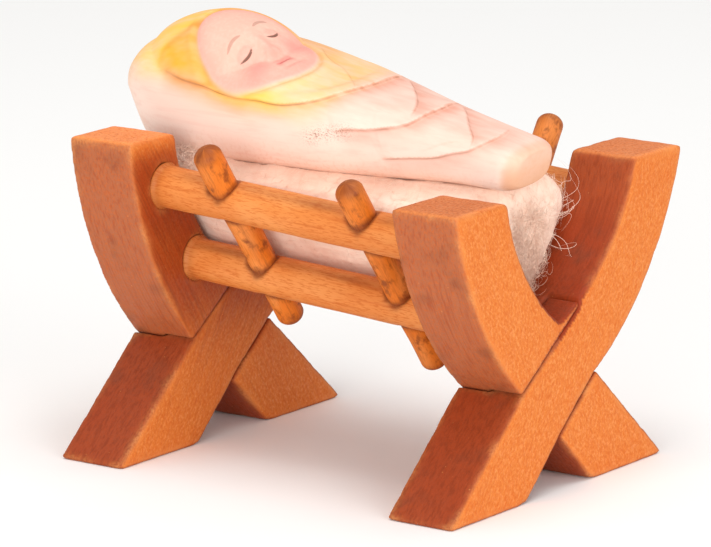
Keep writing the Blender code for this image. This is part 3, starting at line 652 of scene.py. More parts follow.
def board_finish(wood):
    """Orange stain: fine pores on the sawn faces, sides duller by painted shade and smudged, painted shade
    on the legs, notch and inside, and a painted highlight on the tips.
    """
    recipe = Recipe("board_wood", 0.6, wood.board, 0.25)
    place = recipe.attribute("grain_place", "Vector")
    sawn = recipe.attribute("sawn")
    deep = recipe.attribute("deep")
    pores = recipe.noise(place, 2600, 2.0, 0.6, (0.7, 1, 1))
    pits = recipe.noise(place, 1900, 2.0, 0.55, (0.8, 1, 1))
    grain = recipe.noise(place, 2000, 3.0, 0.6, (0.025, 1, 1))
    broad = recipe.noise(place, 70, 2.0, 0.5, (0.6, 1, 1))
    marks = recipe.noise(recipe.object_place, 105, 3.0, 0.55)
    specks = recipe.noise(recipe.object_place, 1500, 1.0, 0.5)
    # The sides take the duller colour as painted shade; the sawn faces keep the lit stain.
    recipe.colour = recipe.mix(sawn, wood.board_side_shade, wood.board)
    recipe.coat(recipe.attribute("tip"), wood.board_tip_highlight)
    recipe.coat(recipe.fade(pits, 0.5, 0.3) * sawn * 0.3, wood.worn)
    recipe.coat(recipe.fade(pores, 0.45, 0.68) * 0.45, wood.board_pore)
    recipe.coat(recipe.fade(pits, 0.5, 0.7) * (0.15 + sawn * 0.35), wood.board_pore)
    recipe.coat(recipe.fade(grain, 0.44, 0.7) * (0.4 - sawn * 0.34), wood.board_grain_and_shade)
    recipe.coat(recipe.fade(broad, 0.45, 0.8) * 0.22, wood.board_pore)
    # Painted shade on the leg sides, in the notch, at the lap's seam and on the inside faces, with darker
    # grain in it.
    recipe.coat(deep * recipe.fade(broad, 0.2, 0.6, 0.8, 1.0), wood.board_grain_and_shade)
    recipe.coat(recipe.fade(grain, 0.42, 0.66) * deep * 0.45, wood.peg_deep)
    side = 1 - sawn
    recipe.coat(recipe.fade(marks, 0.5, 0.74) * side * 0.5, wood.smudge)
    recipe.coat(recipe.fade(specks, 0.76, 0.82) * 0.3, wood.worn)
    rubbed = recipe.attribute("edge") * recipe.fade(marks, 0.35, 0.6, 0.15, 1.0)
    recipe.coat(rubbed * recipe.fade(pits, 0.35, 0.6, 0.3, 1.0) * 0.4, wood.worn)
    height = pores * 0.5 + pits * (0.3 + sawn * 0.7) + grain * (0.5 - sawn * 0.4)
    return recipe.done(recipe.fade(pits, 0.3, 0.8, 0.5, 0.7), recipe.bump(height, 0.1 * MM, 1.0))


def dowel_finish(name, colour, deep, wood, mottle):
    """Stain over fine grain dashes and blotches; the tips and the glue round the holes are darker."""
    recipe = Recipe(name, 0.55, colour, 0.3)
    place = recipe.attribute("grain_place", "Vector")
    dashes = recipe.noise(place, 3600, 2.0, 0.6, (0.16, 1, 1))
    streaks = recipe.noise(place, 1200, 2.0, 0.5, (0.06, 1, 1))
    broad = recipe.noise(place, 150, 2.0, 0.5, (0.5, 1, 1))
    blots = recipe.noise(place, 480, 3.0, 0.6, (0.8, 1, 1))
    dark = recipe.attribute("dark")
    recipe.coat(recipe.fade(broad, 0.35, 0.6, 0.3, 0.0), wood.worn)
    recipe.coat(recipe.fade(dashes, 0.48, 0.66) * (0.5 - 0.3 * mottle), deep)
    recipe.coat(recipe.fade(streaks, 0.54, 0.72) * (0.38 - 0.15 * mottle), deep)
    recipe.coat(recipe.fade(blots, 0.5, 0.72) * 0.75 * mottle, deep)
    recipe.coat(dark * recipe.fade(blots, 0.25, 0.5, 0.65, 1.0) * 0.8, wood.peg_deep)
    height = dashes * -1.0 + streaks * -0.6 + blots * (0.8 * mottle)
    return recipe.done(recipe.fade(dashes, 0.4, 0.7, 0.48, 0.68), recipe.bump(height, 0.05 * MM, 0.7))


def paint_finish(paint):
    """Matt ground coat over faint wood grain, with the washes, lines and painted shade laid on where the
    points say.
    """
    recipe = Recipe("painted_wood", 0.72, paint.ground)
    place = recipe.attribute("grain_place", "Vector")
    grain = recipe.noise(place, 900, 3.0, 0.6, (0.06, 1, 1))
    cloud = recipe.noise(place, 160, 2.0, 0.5, (0.5, 1, 1))
    brush = recipe.noise(place, 500, 2.0, 0.5, (0.3, 1, 1))
    mottle = recipe.noise(place, 1300, 2.0, 0.5)
    uneven = recipe.fade(brush, 0.3, 0.7, 0.7, 1.0)
    recipe.coat(recipe.fade(grain, 0.45, 0.75) * 0.16, paint.shade)
    recipe.coat(recipe.fade(cloud, 0.45, 0.75) * 0.1, paint.shade)
    # Painted shade: mottled tan on the lower part of the figure's sides.
    recipe.coat(recipe.fade(mottle, 0.5, 0.7) * recipe.attribute("rubbed"), paint.bare)
    # Painted shade beside the folds and over the top.
    recipe.coat(recipe.attribute("shade") * uneven, paint.shade)
    recipe.coat(recipe.attribute("yellow") * uneven, paint.yellow)
    # Painted shade in the groove between the hood and the face.
    recipe.coat(recipe.attribute("ochre") * uneven, paint.ochre)
    recipe.coat(recipe.attribute("bare"), paint.bare)
    flecks = recipe.fade(recipe.noise(place, 5200, 2.0, 0.6, (0.5, 1, 1)), 0.48, 0.66)
    recipe.coat(recipe.attribute("flecks") * flecks, paint.line)
    skin = recipe.mix(recipe.fade(mottle, 0.4, 0.7) * 0.12, paint.skin, paint.ground)
    skin = recipe.mix(recipe.attribute("blush"), skin, paint.blush)
    skin = recipe.mix(recipe.attribute("lips"), skin, paint.lips)
    recipe.coat(recipe.attribute("skin"), skin)
    half = paint.line_half / MM
    for name in FOLDS:
        distance = recipe.attribute(name + "_gap").maths("ABSOLUTE")
        strength = recipe.attribute(name + "_line") * recipe.fade(brush, 0.3, 0.65, 0.1, 0.5)
        recipe.coat(recipe.fade(distance, half * 0.4, half * 1.9, 1.0, 0.0) * strength, paint.line)
    for name, strength in (("lash_gap", 0.9), ("brow_gap", 0.38)):
        mask = recipe.fade(recipe.attribute(name), -0.06, 0.12, 1.0, 0.0)
        recipe.coat(mask * strength, paint.lash)
    mouth = recipe.fade(recipe.attribute("mouth_gap"), -0.03, 0.14, 1.0, 0.0)
    recipe.coat(mouth * 0.75, paint.lips)
    height = grain * -1.0 + mottle * 0.25
    return recipe.done(recipe.fade(grain, 0.3, 0.7, 0.66, 0.8), recipe.bump(height, 0.035 * MM, 0.6))


def wool_finish(wool):
    """Cream fibres: fine matted streaks run every way over a darker depth, which is painted shade in the
    tuft's hollows, low down and under the figure's edge.
    """
    recipe = Recipe("raw_wool", 0.95, wool.wool, 0.2)
    place = recipe.object_place
    strands = recipe.noise(place, 700, 4.0, 0.7, (0.25, 1, 1))
    cross = recipe.noise(place, 620, 4.0, 0.7, (1, 0.3, 0.6))
    cloud = recipe.noise(place, 90, 2.0, 0.5)
    depth = recipe.attribute("depth")
    recipe.coat(recipe.fade(strands, 0.45, 0.7) * 0.24, wool.wool_deep_and_shade)
    recipe.coat(recipe.fade(cross, 0.48, 0.7) * 0.2, wool.wool_deep_and_shade)
    recipe.coat(recipe.fade(cloud, 0.45, 0.8) * 0.15, wool.wool_deep_and_shade)
    # Painted shade: the depth darkens the hollows, the low tuft and the wool under the figure's edge.
    recipe.coat(depth * 0.75, wool.wool_deep_and_shade)
    recipe.shader.inputs["Sheen Weight"].default_value = 0.1
    recipe.shader.inputs["Sheen Roughness"].default_value = 0.6
    return recipe.done(None, recipe.bump(strands + cross * 0.8, 0.12 * MM, 0.9))


# Pieces

def near_lap(local, wide, high):
    """1 at the seam over the lap of the two boards, fading by a bell across and a bell upwards."""
    return bell(local[:, 1], wide) * bell(local[:, 2] - NOTCH_HEIGHT - 1 * MM, high)


def painted_shade_share(local, normals, sawn):
    """Share of painted shade on a board: leg sides, the notch's sides, the lap's seam and the inside face,
    where shade falls.

    The inside face is darkest on the arms and runs out towards the feet and tips.
    """
    y, z = local[:, 1], local[:, 2]
    legs = (1 - sawn) * soft_step(WAIST_HEIGHT - z, 0.3 * MM) * 0.85
    notch = (1 - sawn) * soft_step(z - WAIST_HEIGHT, 0.3 * MM)
    notch = notch * soft_step(-normals[:, 1] * np.sign(y), 0.25)
    notch = notch * (0.95 - 0.35 * soft_step(z - 50 * MM, 5 * MM))
    inside = sawn * soft_step(-normals[:, 0] * np.sign(local[:, 0]), 0.2)
    inside = inside * soft_step(ARM_TIPS + 4 * MM - z, 2 * MM) * (0.1 + 0.8 * soft_step(z - 24 * MM, 7 * MM))
    return np.clip(legs + notch + inside + (1 - sawn) * near_lap(local, 7 * MM, 4 * MM), 0, 1)


class MANGER_OT_boards(bpy.types.Operator):
    """Make the four crossed boards: sanded, worn at the edges and slightly wavy"""
    bl_idname = "manger.boards"
    bl_label = "Trestle boards"

    def execute(self, context):
        wood = context.scene.manger_wood
        finish = board_finish(wood)
        middle = manger_middle()
        for number, node in enumerate(BOARDS):
            piece = remeshed(node + "_wood", node, wood.voxel, BOARD_SMOOTHING)
            mesh = piece.data
            points, normals = points_and_normals(mesh)
            bulge = np.sum((points - neighbour_mean(mesh, points)) * normals, axis=1)
            sharp = neighbour_mean(mesh, np.clip(bulge / (0.05 * wood.voxel), 0, 1.5), 3)
            local = points - middle
            lean = 1 if node.endswith("a") else -1
            along = np.array((0.0, lean * ARM_WAY[0], ARM_WAY[1]))
            across = np.array((0.0, ARM_WAY[1], -lean * ARM_WAY[0]))
            place = np.stack((local @ along, local @ across, local[:, 0]), axis=-1) + 0.2 * number
            # Up-facing faces at the arms' tips, which take a painted highlight.
            tip = soft_step(normals[:, 2] - 0.8, 0.1) * soft_step(local[:, 2] - ARM_TIPS, 1.0 * MM)
            faces = soft_step(np.abs(normals[:, 0]) - 0.78, 0.1)
            by_lap = np.clip(3 * near_lap(local, 8 * MM, 5 * MM), 0, 1)
            sawn = np.clip(neighbour_mean(mesh, faces + tip), 0, 1)
            # By the lap's seam, faces not square to X lose the sawn colour and take the duller side colour,
            # as painted shade.
            sawn = sawn * (1 - by_lap * (np.abs(normals[:, 0]) < 0.97))
            rise = EDGE_SWELL + wood.wave * (noise(place, 11 * MM, 3) + 0.4 * noise(place, 4 * MM, 4))
            rise += wood.pore * sawn * (noise(place, 1.3 * MM, 5) + 0.6 * noise(place, 0.8 * MM, 9))
            rise += wood.pore * (1 - sawn) * noise(place, (7 * MM, 1.0 * MM, 1.0 * MM), 6)
            nick = np.clip(noise(place, 2.2 * MM, 7) - 0.25, 0, 1)
            rise -= wood.wear * sharp * (0.45 + nick)
            move_points(mesh, points + normals * rise[:, None])
            keep(mesh, "grain_place", place)
            keep(mesh, "sawn", sawn)
            keep(mesh, "tip", neighbour_mean(mesh, tip))
            # The deep share is painted shade.
            keep(mesh, "deep", painted_shade_share(local, normals, sawn))
            worn = sharp * (1 - by_lap) * (0.5 + 0.5 * noise(place, 3 * MM, 8))
            keep(mesh, "edge", np.clip(worn, 0, 1))
            finish_piece(piece, finish, "board_wood", node)
        return {"FINISHED"}


def rod_frame(start, end):
    """Length of a rod and the three directions of its own frame."""
    way = (end - start) / np.linalg.norm(end - start)
    across = np.cross((0.0, 1.0, 0.0) if abs(way[1]) < 0.9 else (1.0, 0.0, 0.0), way)
    across /= np.linalg.norm(across)
    return float(np.linalg.norm(end - start)), way, across, np.cross(way, across)


def rod_surface(start, end, radius, dome, mesh_size, relief):
    """Rings of points on a rod: radius times a rounded end, plus relief at (along, across, up)."""
    length, way, across, up = rod_frame(start, end)
    rings, sides = mesh_size
    along = spread(length, rings, 6.0, dome)
    along, around = np.meshgrid(along, np.linspace(0, 2 * np.pi, sides, endpoint=False), indexing="ij")
    share = rounding(np.minimum(along, length - along) + 0.01 * MM, dome, 2.0)
    place = np.stack((along, radius * np.cos(around), radius * np.sin(around)), axis=-1)
    reach = (radius + relief(place)) * share
    side = np.cos(around)[..., None] * across + np.sin(around)[..., None] * up
    return start + along[..., None] * way + reach[..., None] * side, place


def rod_gap(points, node, radius):
    """Distance of points from the round face of another rod."""
    low, high = rod_ends(node)
    run = (high - low) / np.linalg.norm(high - low)
    offset = points - low
    return np.linalg.norm(offset - (offset @ run)[..., None] * run, axis=-1) - radius


def same_side(node, rods):
    """The rods on the same side of the manger as a node, told by the first word of their names."""
    return [rod for rod in rods if rod.split("_")[0] == node.split("_")[0]]


def add_rod(node, points, values, finish, slot):
    """Add a rail or a peg from its rings of points, with what its finish reads at them."""
    piece = add_object(node + "_wood", closed_tube(node + "_wood", points))
    keep_on_rings(piece.data, values)
    finish_piece(piece, finish, slot, node)


def keep_on_rings(mesh, values):
    """Keep values worked out on rings of points; the two poles take their rings' mean."""
    for name, value in values.items():
        flat = value.reshape(-1, 3) if value.ndim == 3 else value.reshape(-1)
        poles = np.stack((value[0].mean(axis=0), value[-1].mean(axis=0)))
        keep(mesh, name, np.concatenate((flat, poles)))


class MANGER_OT_rails(bpy.types.Operator):
    """Turn the four rails: long grain, a slightly uneven round, glue at the boards, a groove at each peg"""
    bl_idname = "manger.rails"
    bl_label = "Rails"

    def execute(self, context):
        wood = context.scene.manger_wood
        finish = dowel_finish("rail_wood", wood.rail, wood.rail_deep, wood, 0.0)
        for number, node in enumerate(RAILS):
            start, end = rod_ends(node)
            length, way, _, _ = rod_frame(start, end)
            seat = (end[0] - start[0] - MANGER_LENGTH + 2 * BOARD_THICKNESS) / 2
            shift = 0.1 * (number + 1)

            def relief(place, length=length, seat=seat, shift=shift):
                wobble = wood.wave * 1.4 * noise(place + shift, (18 * MM, 5 * MM, 5 * MM), 11)
                lines = noise(place + shift, (9 * MM, 0.8 * MM, 0.8 * MM), 12)
                from_board = np.minimum(place[..., 0], length - place[..., 0]) - seat
                glue = 0.55 * MM * bell(from_board + 0.1 * MM, 0.45 * MM)
                glue = glue * (1 + 0.3 * noise(place + shift, 2 * MM, 14))
                return wobble - wood.groove * np.clip(lines, 0, 1) * 1.6 + glue

            points, place = rod_surface(start, end, RAIL_RADIUS, RAIL_END_ROUND, RAIL_MESH, relief)
            from_board = np.minimum(place[..., 0], length - place[..., 0]) - seat
            dark = 0.45 * bell(np.clip(from_board, 0, None), 1.6 * MM)
            streak = bell(place[..., 1] / RAIL_RADIUS + 0.82, 0.16) * (place[..., 2] < 0)
            patchy = noise(place + shift, (9 * MM, 2 * MM, 2 * MM), 15)
            dark = np.maximum(dark, 0.6 * streak * np.clip(0.55 + patchy, 0, 1))
            spoke = points - start - ((points - start) @ way)[..., None] * way
            spoke /= np.linalg.norm(spoke, axis=-1, keepdims=True)
            for peg in same_side(node, PEGS):
                gap = rod_gap(points, peg, PEG_RADIUS)
                ragged = 0.25 * MM * noise(points, 1.4 * MM, 13)
                groove = 0.35 * MM * bell(np.clip(gap - 0.1 * MM, 0, None), 0.4 * MM)
                points = points - groove[..., None] * spoke
                dark = np.maximum(dark, bell(np.clip(gap + ragged - 0.2 * MM, 0, None), 0.5 * MM))
            add_rod(node, points, {"dark": dark, "grain_place": place + shift}, finish, "rail_wood")
        return {"FINISHED"}


class MANGER_OT_pegs(bpy.types.Operator):
    """Whittle the four pegs: domed dark tips and shallow knife flats"""
    bl_idname = "manger.pegs"
    bl_label = "Pegs"

    def execute(self, context):
        wood = context.scene.manger_wood
        finish = dowel_finish("peg_wood", wood.peg, wood.peg_deep, wood, 1.0)
        for number, node in enumerate(PEGS):
            start, end = rod_ends(node)
            length = rod_frame(start, end)[0]
            shift = 0.15 * (number + 1)

            def relief(place, shift=shift):
                flats = wood.wave * 2.0 * noise(place + shift, (9 * MM, 3.2 * MM, 3.2 * MM), 21)
                lines = noise(place + shift, (6 * MM, 0.8 * MM, 0.8 * MM), 22)
                return flats - wood.groove * np.clip(lines, 0, 1)

            points, place = rod_surface(start, end, PEG_RADIUS, PEG_DOME, PEG_MESH, relief)
            from_end = np.minimum(place[..., 0], length - place[..., 0])
            ragged = 0.8 * MM * noise(place + 0.3 * number, 2.0 * MM, 23)
            dark = 0.9 * bell(np.clip(from_end + ragged, 0, None), 2.0 * MM)
            for rail in same_side(node, RAILS):
                gap = rod_gap(points, rail, RAIL_RADIUS)
                dark = np.maximum(dark, bell(np.clip(gap + 0.3 * ragged, 0, None), 0.55 * MM))
            add_rod(node, points, {"dark": dark, "grain_place": place + shift}, finish, "peg_wood")
        return {"FINISHED"}


# Figure

FOLDS = {
    "blanket": (BLANKET_EDGE, -1, 1.0),
    "hood": (HOOD_EDGE, 1, 0.5),
    "chest": (CHEST_FLAP, 1, 0.8),
    "arm": (ARM_FOLD, -1, 1.0),
    "knee": (KNEE_FLAP, 1, 0.8),
    "shin": (SHIN_FOLD, -1, 0.8),
}


def even_angles(sides):
    """Angles round a section that space its points evenly, a little closer over the top."""
    dense = np.linspace(0, 2 * np.pi, 8001)
    up = np.sin(dense)
    v = 15.2 * signed_power(np.cos(dense), SIDE_POWER)
    w = 10.0 * np.where(up > 0, np.abs(up) ** TOP_POWER, -np.abs(up) ** BACK_POWER)
    steps = np.hypot(np.diff(v), np.diff(w)) * (1 + 0.55 * np.clip(up[1:] * 3 + 0.6, 0, 1))
    run = np.concatenate(((0,), np.cumsum(steps)))
    return np.interp(np.linspace(0, run[-1], sides, endpoint=False), run, dense)


class FigureForm:
    """The figure's plain carved form on a grid, before its folds and face are cut.

    Each section is a rounded box: its half width and height follow the two profiles, its powers keep the
    sides tall and the back flat, and both ends are rounded and cut back underneath.
    """

    def __init__(self, rings, sides):
        u = spread(FIGURE_LENGTH, rings, 5.0, 2.5 * MM)
        u[0], u[-1] = 0.01 * MM, FIGURE_LENGTH - 0.01 * MM
        self.u, around = np.meshgrid(u, even_angles(sides), indexing="ij")
        self.share = self.u / FIGURE_LENGTH
        half_width = smooth_curve(self.share, WIDTH_STATIONS, HALF_WIDTHS)
        self.height = smooth_curve(self.share, HEIGHT_STATIONS, HEIGHTS)
        crown_wide = rounding(self.u, CROWN_TAPER, 2.8)
        crown_high = rounding(self.u, CROWN_ROUNDING, 2.8)
        foot = rounding(FIGURE_LENGTH - self.u, FOOT_ROUNDING, 2.0)
        half_width = half_width * crown_wide * (0.6 + 0.4 * foot)
        self.middle = self.height * (0.5 + 0.05 * soft_step(0.5 - self.share, 0.03))
        rise = (self.height - self.middle) * crown_high * (0.75 + 0.25 * foot)
        sink = BACK_DEPTH * np.clip(1 - self.share / BACK_DEPTH_END, 0, 1)
        drop = (self.middle + sink) * crown_high * (0.8 + 0.2 * foot)
        self.side, self.up = np.cos(around), np.sin(around)
        self.v = half_width * signed_power(self.side, SIDE_POWER)
        lift = np.where(self.up > 0, rise * np.abs(self.up) ** TOP_POWER,
                        -drop * np.abs(self.up) ** BACK_POWER)
        self.w = self.middle + lift
        self.angle = np.arctan2(-self.v / half_width, lift / np.where(self.up > 0, rise, drop))
        self.foot = foot
        self.arc = self.unrolled_arc()

    def unrolled_arc(self):
        """Length round each section from the top, + on the left side, so that (u, arc) is a flat map."""
        order = np.argsort(self.angle, axis=1)
        v, w = np.take_along_axis(self.v, order, 1), np.take_along_axis(self.w, order, 1)
        angle = np.take_along_axis(self.angle, order, 1)
        steps = np.hypot(np.diff(v, axis=1), np.diff(w, axis=1))
        run = np.concatenate((np.zeros((len(v), 1)), np.cumsum(steps, axis=1)), axis=1)
        top = np.array([np.interp(0.0, a, r) for a, r in zip(angle, run)])
        arc = np.empty_like(run)
        np.put_along_axis(arc, order, run - top[:, None], 1)
        self.sorted_angle, self.sorted_arc = angle, run - top[:, None]
        return arc

    def flat_path(self, points):
        """A path given in (mm, degrees) as places on the flat map."""
        path = rounded_path(points)
        u = np.clip(path[:, 0] * MM, self.u[0, 0], self.u[-1, 0])
        rows = np.searchsorted(self.u[:, 0], u).clip(0, len(self.u) - 1)
        turned = np.radians(path[:, 1])
        arc = [np.interp(a, self.sorted_angle[row], self.sorted_arc[row]) for a, row in zip(turned, rows)]
        return np.stack((path[:, 0] * MM, arc), axis=-1)

    def flat(self):
        return np.stack((self.u, self.arc), axis=-1)


def mirrored_side(points):
    """The same path on the figure's other side."""
    return tuple((length, -turned) for length, turned in points)


def face_places(form):
    """Across and along places on the face, from the middle of its oval, and how far out they lie in it."""
    x, y = form.v - FACE_SIDE, form.u - FACE_CENTRE
    return x, y, np.sqrt((x / FACE_HALF_WIDTH) ** 2 + (y / FACE_HALF_LENGTH) ** 2)


def head_mound(form):
    """Rise of the whole head with its hood: a smooth hill on an oval."""
    across, along = (form.v - HEAD_SIDE) / HEAD_HALF_WIDTH, (form.u - HEAD_CENTRE) / HEAD_HALF_LENGTH
    return HEAD_RISE * np.clip(1 - across ** 2 - along ** 2, 0, None) ** 0.9 * np.clip(3 * form.up, 0, 1)


def face_relief(form):
    """Rise of the face out of the hood, with brow, lids, nose, cheeks, lips and chin as soft bumps."""
    x, y, oval = face_places(form)
    out = np.abs(x)
    rise = soft_spots(out, y, FACE_FORMS)
    rise += 0.62 * MM * rounding_dome(out - EYE_OUT, y - EYE_LINE, LID_HALF, 1.5 * MM)
    lash = lash_line(out)
    near_eye = soft_step(LID_HALF - np.abs(out - EYE_OUT), 0.3 * MM)
    rise -= 0.16 * MM * bell(y - lash, 0.28 * MM) * near_eye
    rise -= 0.10 * MM * bell(y - (2 * EYE_LINE - lash - 0.5 * MM), 0.3 * MM) * near_eye
    bridge = smooth_curve(y, (BROW_LINE - 1 * MM, BROW_LINE, EYE_LINE, NOSE_TIP - 1.2 * MM,
                              NOSE_TIP - 0.2 * MM, NOSE_TIP + 1.2 * MM, NOSE_TIP + 2 * MM),
                          (0.0, 0.08 * MM, 0.5 * MM, 1.15 * MM, 1.45 * MM, 0.1 * MM, 0.0))
    wide = np.interp(y, (BROW_LINE, EYE_LINE, NOSE_TIP), (1.8 * MM, 1.1 * MM, 1.35 * MM))
    rise += bridge * bell(x, wide)
    in_mouth = soft_step(MOUTH_HALF - out, 0.35 * MM)
    rise += 0.36 * MM * bell(y - MOUTH_LINE + 0.55 * MM, 0.55 * MM) * in_mouth
    rise -= 0.20 * MM * bell(y - mouth_line(x), 0.22 * MM) * in_mouth
    rise = rise * np.clip((1 - oval) * 6, 0, 1) + 0.4 * MM * soft_step(1 - oval, 0.035)
    rise += 0.30 * MM * bell(oval - 1.14, 0.08) - 0.30 * MM * bell(oval - 1.03, 0.03)
    return rise * np.clip(3 * form.up, 0, 1)


def soft_spots(out, y, spots):
    """Sum of bell-shaped spots, each a height times a bell across and a bell along."""
    return sum(height * bell(out - across, wide) * bell(y - along, long)
               for height, across, wide, along, long in spots.values())


def rounding_dome(x, y, half_x, half_y):
    """Dome of height 1 over an oval."""
    return np.sqrt(np.clip(1 - (x / half_x) ** 2 - (y / half_y) ** 2, 0, None))


def lash_line(out):
    """Along place of a closed lid's lower edge: a shallow arc that hangs towards the chin."""
    return EYE_LINE + 0.85 * MM * (1 - ((out - EYE_OUT) / EYE_HALF) ** 2) - 0.1 * MM


def mouth_line(x):
    """Along place of the closed mouth: level, with its corners lifted a touch."""
    return MOUTH_LINE + 0.18 * MM - 0.35 * MM * (x / MOUTH_HALF) ** 2


def stroke_gap(x, y, line, centre, half, thick):
    """Distance in mm from a drawn stroke of a tapered thickness along a line y(x); below 0 inside it."""
    along = np.clip(np.abs(x - centre) / half, 0, 1.6)
    past = np.clip(np.abs(x - centre) - half, 0, None)
    width = thick * np.clip(1 - along ** 3, 0, 1)
    return (np.hypot(y - line, past) - width) / MM


def fold_relief(form, paint):
    """Height of the swaddling's overlaps, and for each fold its signed gap and line strength."""
    flat = form.flat()
    relief = np.zeros_like(form.u)
    shade = np.zeros_like(form.u)
    kept = {}
    for name, (points, raised, share) in FOLDS.items():
        gap, along, run = path_distance(flat, form.flat_path(points))
        ends = np.clip(along / (4 * MM), 0, 1) * np.clip((run - along) / (4 * MM), 0, 1)
        ends = ends * (2 - ends)
        on_high = gap * raised
        step = soft_step(on_high, 0.22 * MM) * np.exp(-np.clip(on_high, 0, None) / paint.fade)
        beyond = bell(np.clip(np.abs(gap) - 6 * MM, 0, None), 5 * MM)
        relief += paint.step * share * step * ends * beyond
        relief -= 0.10 * MM * bell(on_high + 0.25 * MM, 0.3 * MM) * ends
        beside = bell(np.clip(-on_high, 0, None), 2.6 * MM) * (on_high < 0.3 * MM)
        shade = np.maximum(shade, beside * ends * share)
        kept[name + "_gap"] = np.clip(gap / MM, -4, 4)
        kept[name + "_line"] = ends * share
    return relief, shade, kept


def paint_places(form, shade):
    """How much of each wash and of the painted shade lies at every point."""
    x, y, oval = face_places(form)
    flat = form.flat()
    top = form.up > 0
    rough = noise(np.stack((form.u, form.arc, 0 * form.u), axis=-1), (9 * MM, 4 * MM, 4 * MM), 31)
    skin = soft_step(1.0 - oval + 0.012 * rough, 0.025) * top
    yellow = np.zeros_like(form.u)
    for mirror, side in ((tuple, 1), (mirrored_side, -1)):
        gap, _, _ = path_distance(flat, form.flat_path(mirror(YELLOW_EDGE)))
        line, _, _ = path_distance(flat, form.flat_path(mirror(BLANKET_EDGE)))
        wash = 0.46 + 0.36 * soft_step(24 * MM - form.u, 6 * MM)
        wash = wash + 0.6 * bell(line * side + 0.6 * MM, 2.6 * MM) * soft_step(43 * MM - form.u, 5 * MM)
        inside = soft_step(-gap * side - 1.0 * MM + 1.2 * MM * rough, 2.2 * MM) * (wash + 0.08 * rough)
        yellow = np.where(form.arc * side >= 0, inside, yellow)
    yellow = yellow * (1 - skin)
    # The ring is painted shade in the groove between the hood and the face, fading out towards the chin.
    gap, _, _ = path_distance(flat, form.flat_path(OCHRE_SHADE_PATH))
    inner = gap * np.sign(gap[(oval < 0.3) & top].mean())
    ring = 0.5 * soft_step(inner, 0.8 * MM) * soft_step(1.6 - oval, 0.1) + 0.4 * bell(inner, 1.0 * MM)
    ring = ring * soft_step(3 * MM - y + 0.4 * x, 4 * MM)
    ochre = (ring + 0.25 * bell(oval - 1.04, 0.07)) * (oval > 0.97) * top
    gap, along, run = path_distance(flat, form.flat_path(FLECK_PATH))
    flecks = bell(gap, 1.3 * MM) * soft_step(along - 0.5 * MM, 1 * MM) * soft_step(run - along, 1.5 * MM)
    out = np.abs(x)
    blush = soft_spots(out, y, BLUSHES) + 0.25 * soft_step(oval - 0.86, 0.1)
    lips = 0.55 * soft_step(MOUTH_HALF - out, 0.3 * MM) * bell(y - MOUTH_LINE - 0.1 * MM, 0.95 * MM)
    foot_end = soft_step(form.u - (FIGURE_LENGTH - 2.2 * MM), 0.7 * MM)
    foot_end = foot_end * (0.45 + 0.4 * soft_step(form.height * 0.6 - form.w, 1.4 * MM))
    brow = BROW_LINE + 0.1 * (out - EYE_OUT) ** 2 / MM
    underneath = NEVER_DRAWN * (~top)
    return {
        # Pink painted shade beside the folds, and painted shade over the top, strongest where it faces
        # straight up.
        "shade": np.clip((0.5 * shade + 0.5 * np.clip(form.up, 0, 1)) * (1 - skin), 0, 1),
        # Mottled tan on the lower part of the figure's sides, where the surface turns under: painted shade.
        "rubbed": 0.3 * soft_step(form.middle * 0.35 - form.w, 3 * MM),
        "yellow": np.clip(yellow, 0, 1),
        "ochre": np.clip(ochre * (1 - skin), 0, 1),
        "skin": skin,
        "blush": np.clip(blush, 0, 1),
        "lips": lips * skin,
        "bare": np.clip(foot_end, 0, 1),
        "flecks": 0.75 * flecks,
        "lash_gap": stroke_gap(out, y, lash_line(out), EYE_OUT, EYE_HALF, 0.24 * MM) + underneath,
        "brow_gap": stroke_gap(out, y, brow, EYE_OUT, 2.3 * MM, 0.3 * MM) + underneath,
        "mouth_gap": stroke_gap(x, y, mouth_line(x), 0.0, MOUTH_HALF, 0.14 * MM) + underneath,
    }


def place_figure(points):
    """Lay figure points on the bedding: rolled to the left, head up, feet towards the foot end."""
    turn = np.array(Euler(FIGURE_TURN, "XYZ").to_matrix())
    rail_height = np.mean(rod_ends("left_upper_rail"), axis=0)[2]
    crown = (-MANGER_LENGTH / 2 - FIGURE_OVERHANG, FIGURE_SIDE, rail_height + FIGURE_ABOVE_RAIL)
    return points @ turn.T + manger_middle() + crown


class MANGER_OT_figure(bpy.types.Operator):
    """Carve and paint the swaddled figure: hood, overlapping wraps and a calm, plain face"""
    bl_idname = "manger.figure"
    bl_label = "Swaddled figure"

    def execute(self, context):
        paint = context.scene.manger_figure
        form = FigureForm(paint.rings, paint.sides)
        hood = np.abs((form.u - HOOD_CENTRE) / HOOD_HALF_LENGTH) ** HOOD_POWER
        hood = (hood + np.abs(form.v / HOOD_HALF_WIDTH) ** HOOD_POWER) ** (1 / HOOD_POWER)
        in_hood = soft_step(1 - hood, 0.03) * soft_step(form.w - form.middle, 1.0 * MM)
        folds, shade, kept = fold_relief(form, paint)
        grain_place = np.stack((form.u, form.v, form.w), axis=-1)
        whittled = 0.10 * MM * noise(grain_place, (16 * MM, 6 * MM, 6 * MM), 33)
        relief = (folds * (1 - 0.6 * in_hood) - 0.6 * HOOD_SINK * in_hood + whittled) * form.foot
        v = form.v + relief * form.side
        face = face_relief(form)
        v = v - math.sin(FACE_TURN) * face
        w = form.w + relief * form.up + head_mound(form) + math.cos(FACE_TURN) * face
        low = np.clip(1 - w / (0.6 * form.height), 0, 1)
        u = form.u + CROWN_UNDERCUT * low * np.clip(1 - form.share * 4.8, 0, 1)
        u = u - FOOT_UNDERCUT * np.clip(1 - w / form.height, 0, 1) * np.clip(1 - (1 - form.share) * 6, 0, 1)
        points = place_figure(np.stack((u, v, w), axis=-1))
        piece = add_object("swaddled_baby_carved", closed_tube("swaddled_baby_carved", points))
        kept.update(paint_places(form, shade))
        kept["grain_place"] = grain_place
        keep_on_rings(piece.data, kept)
        finish_piece(piece, paint_finish(paint), "painted_wood", "swaddled_baby")
        return {"FINISHED"}


# Wool

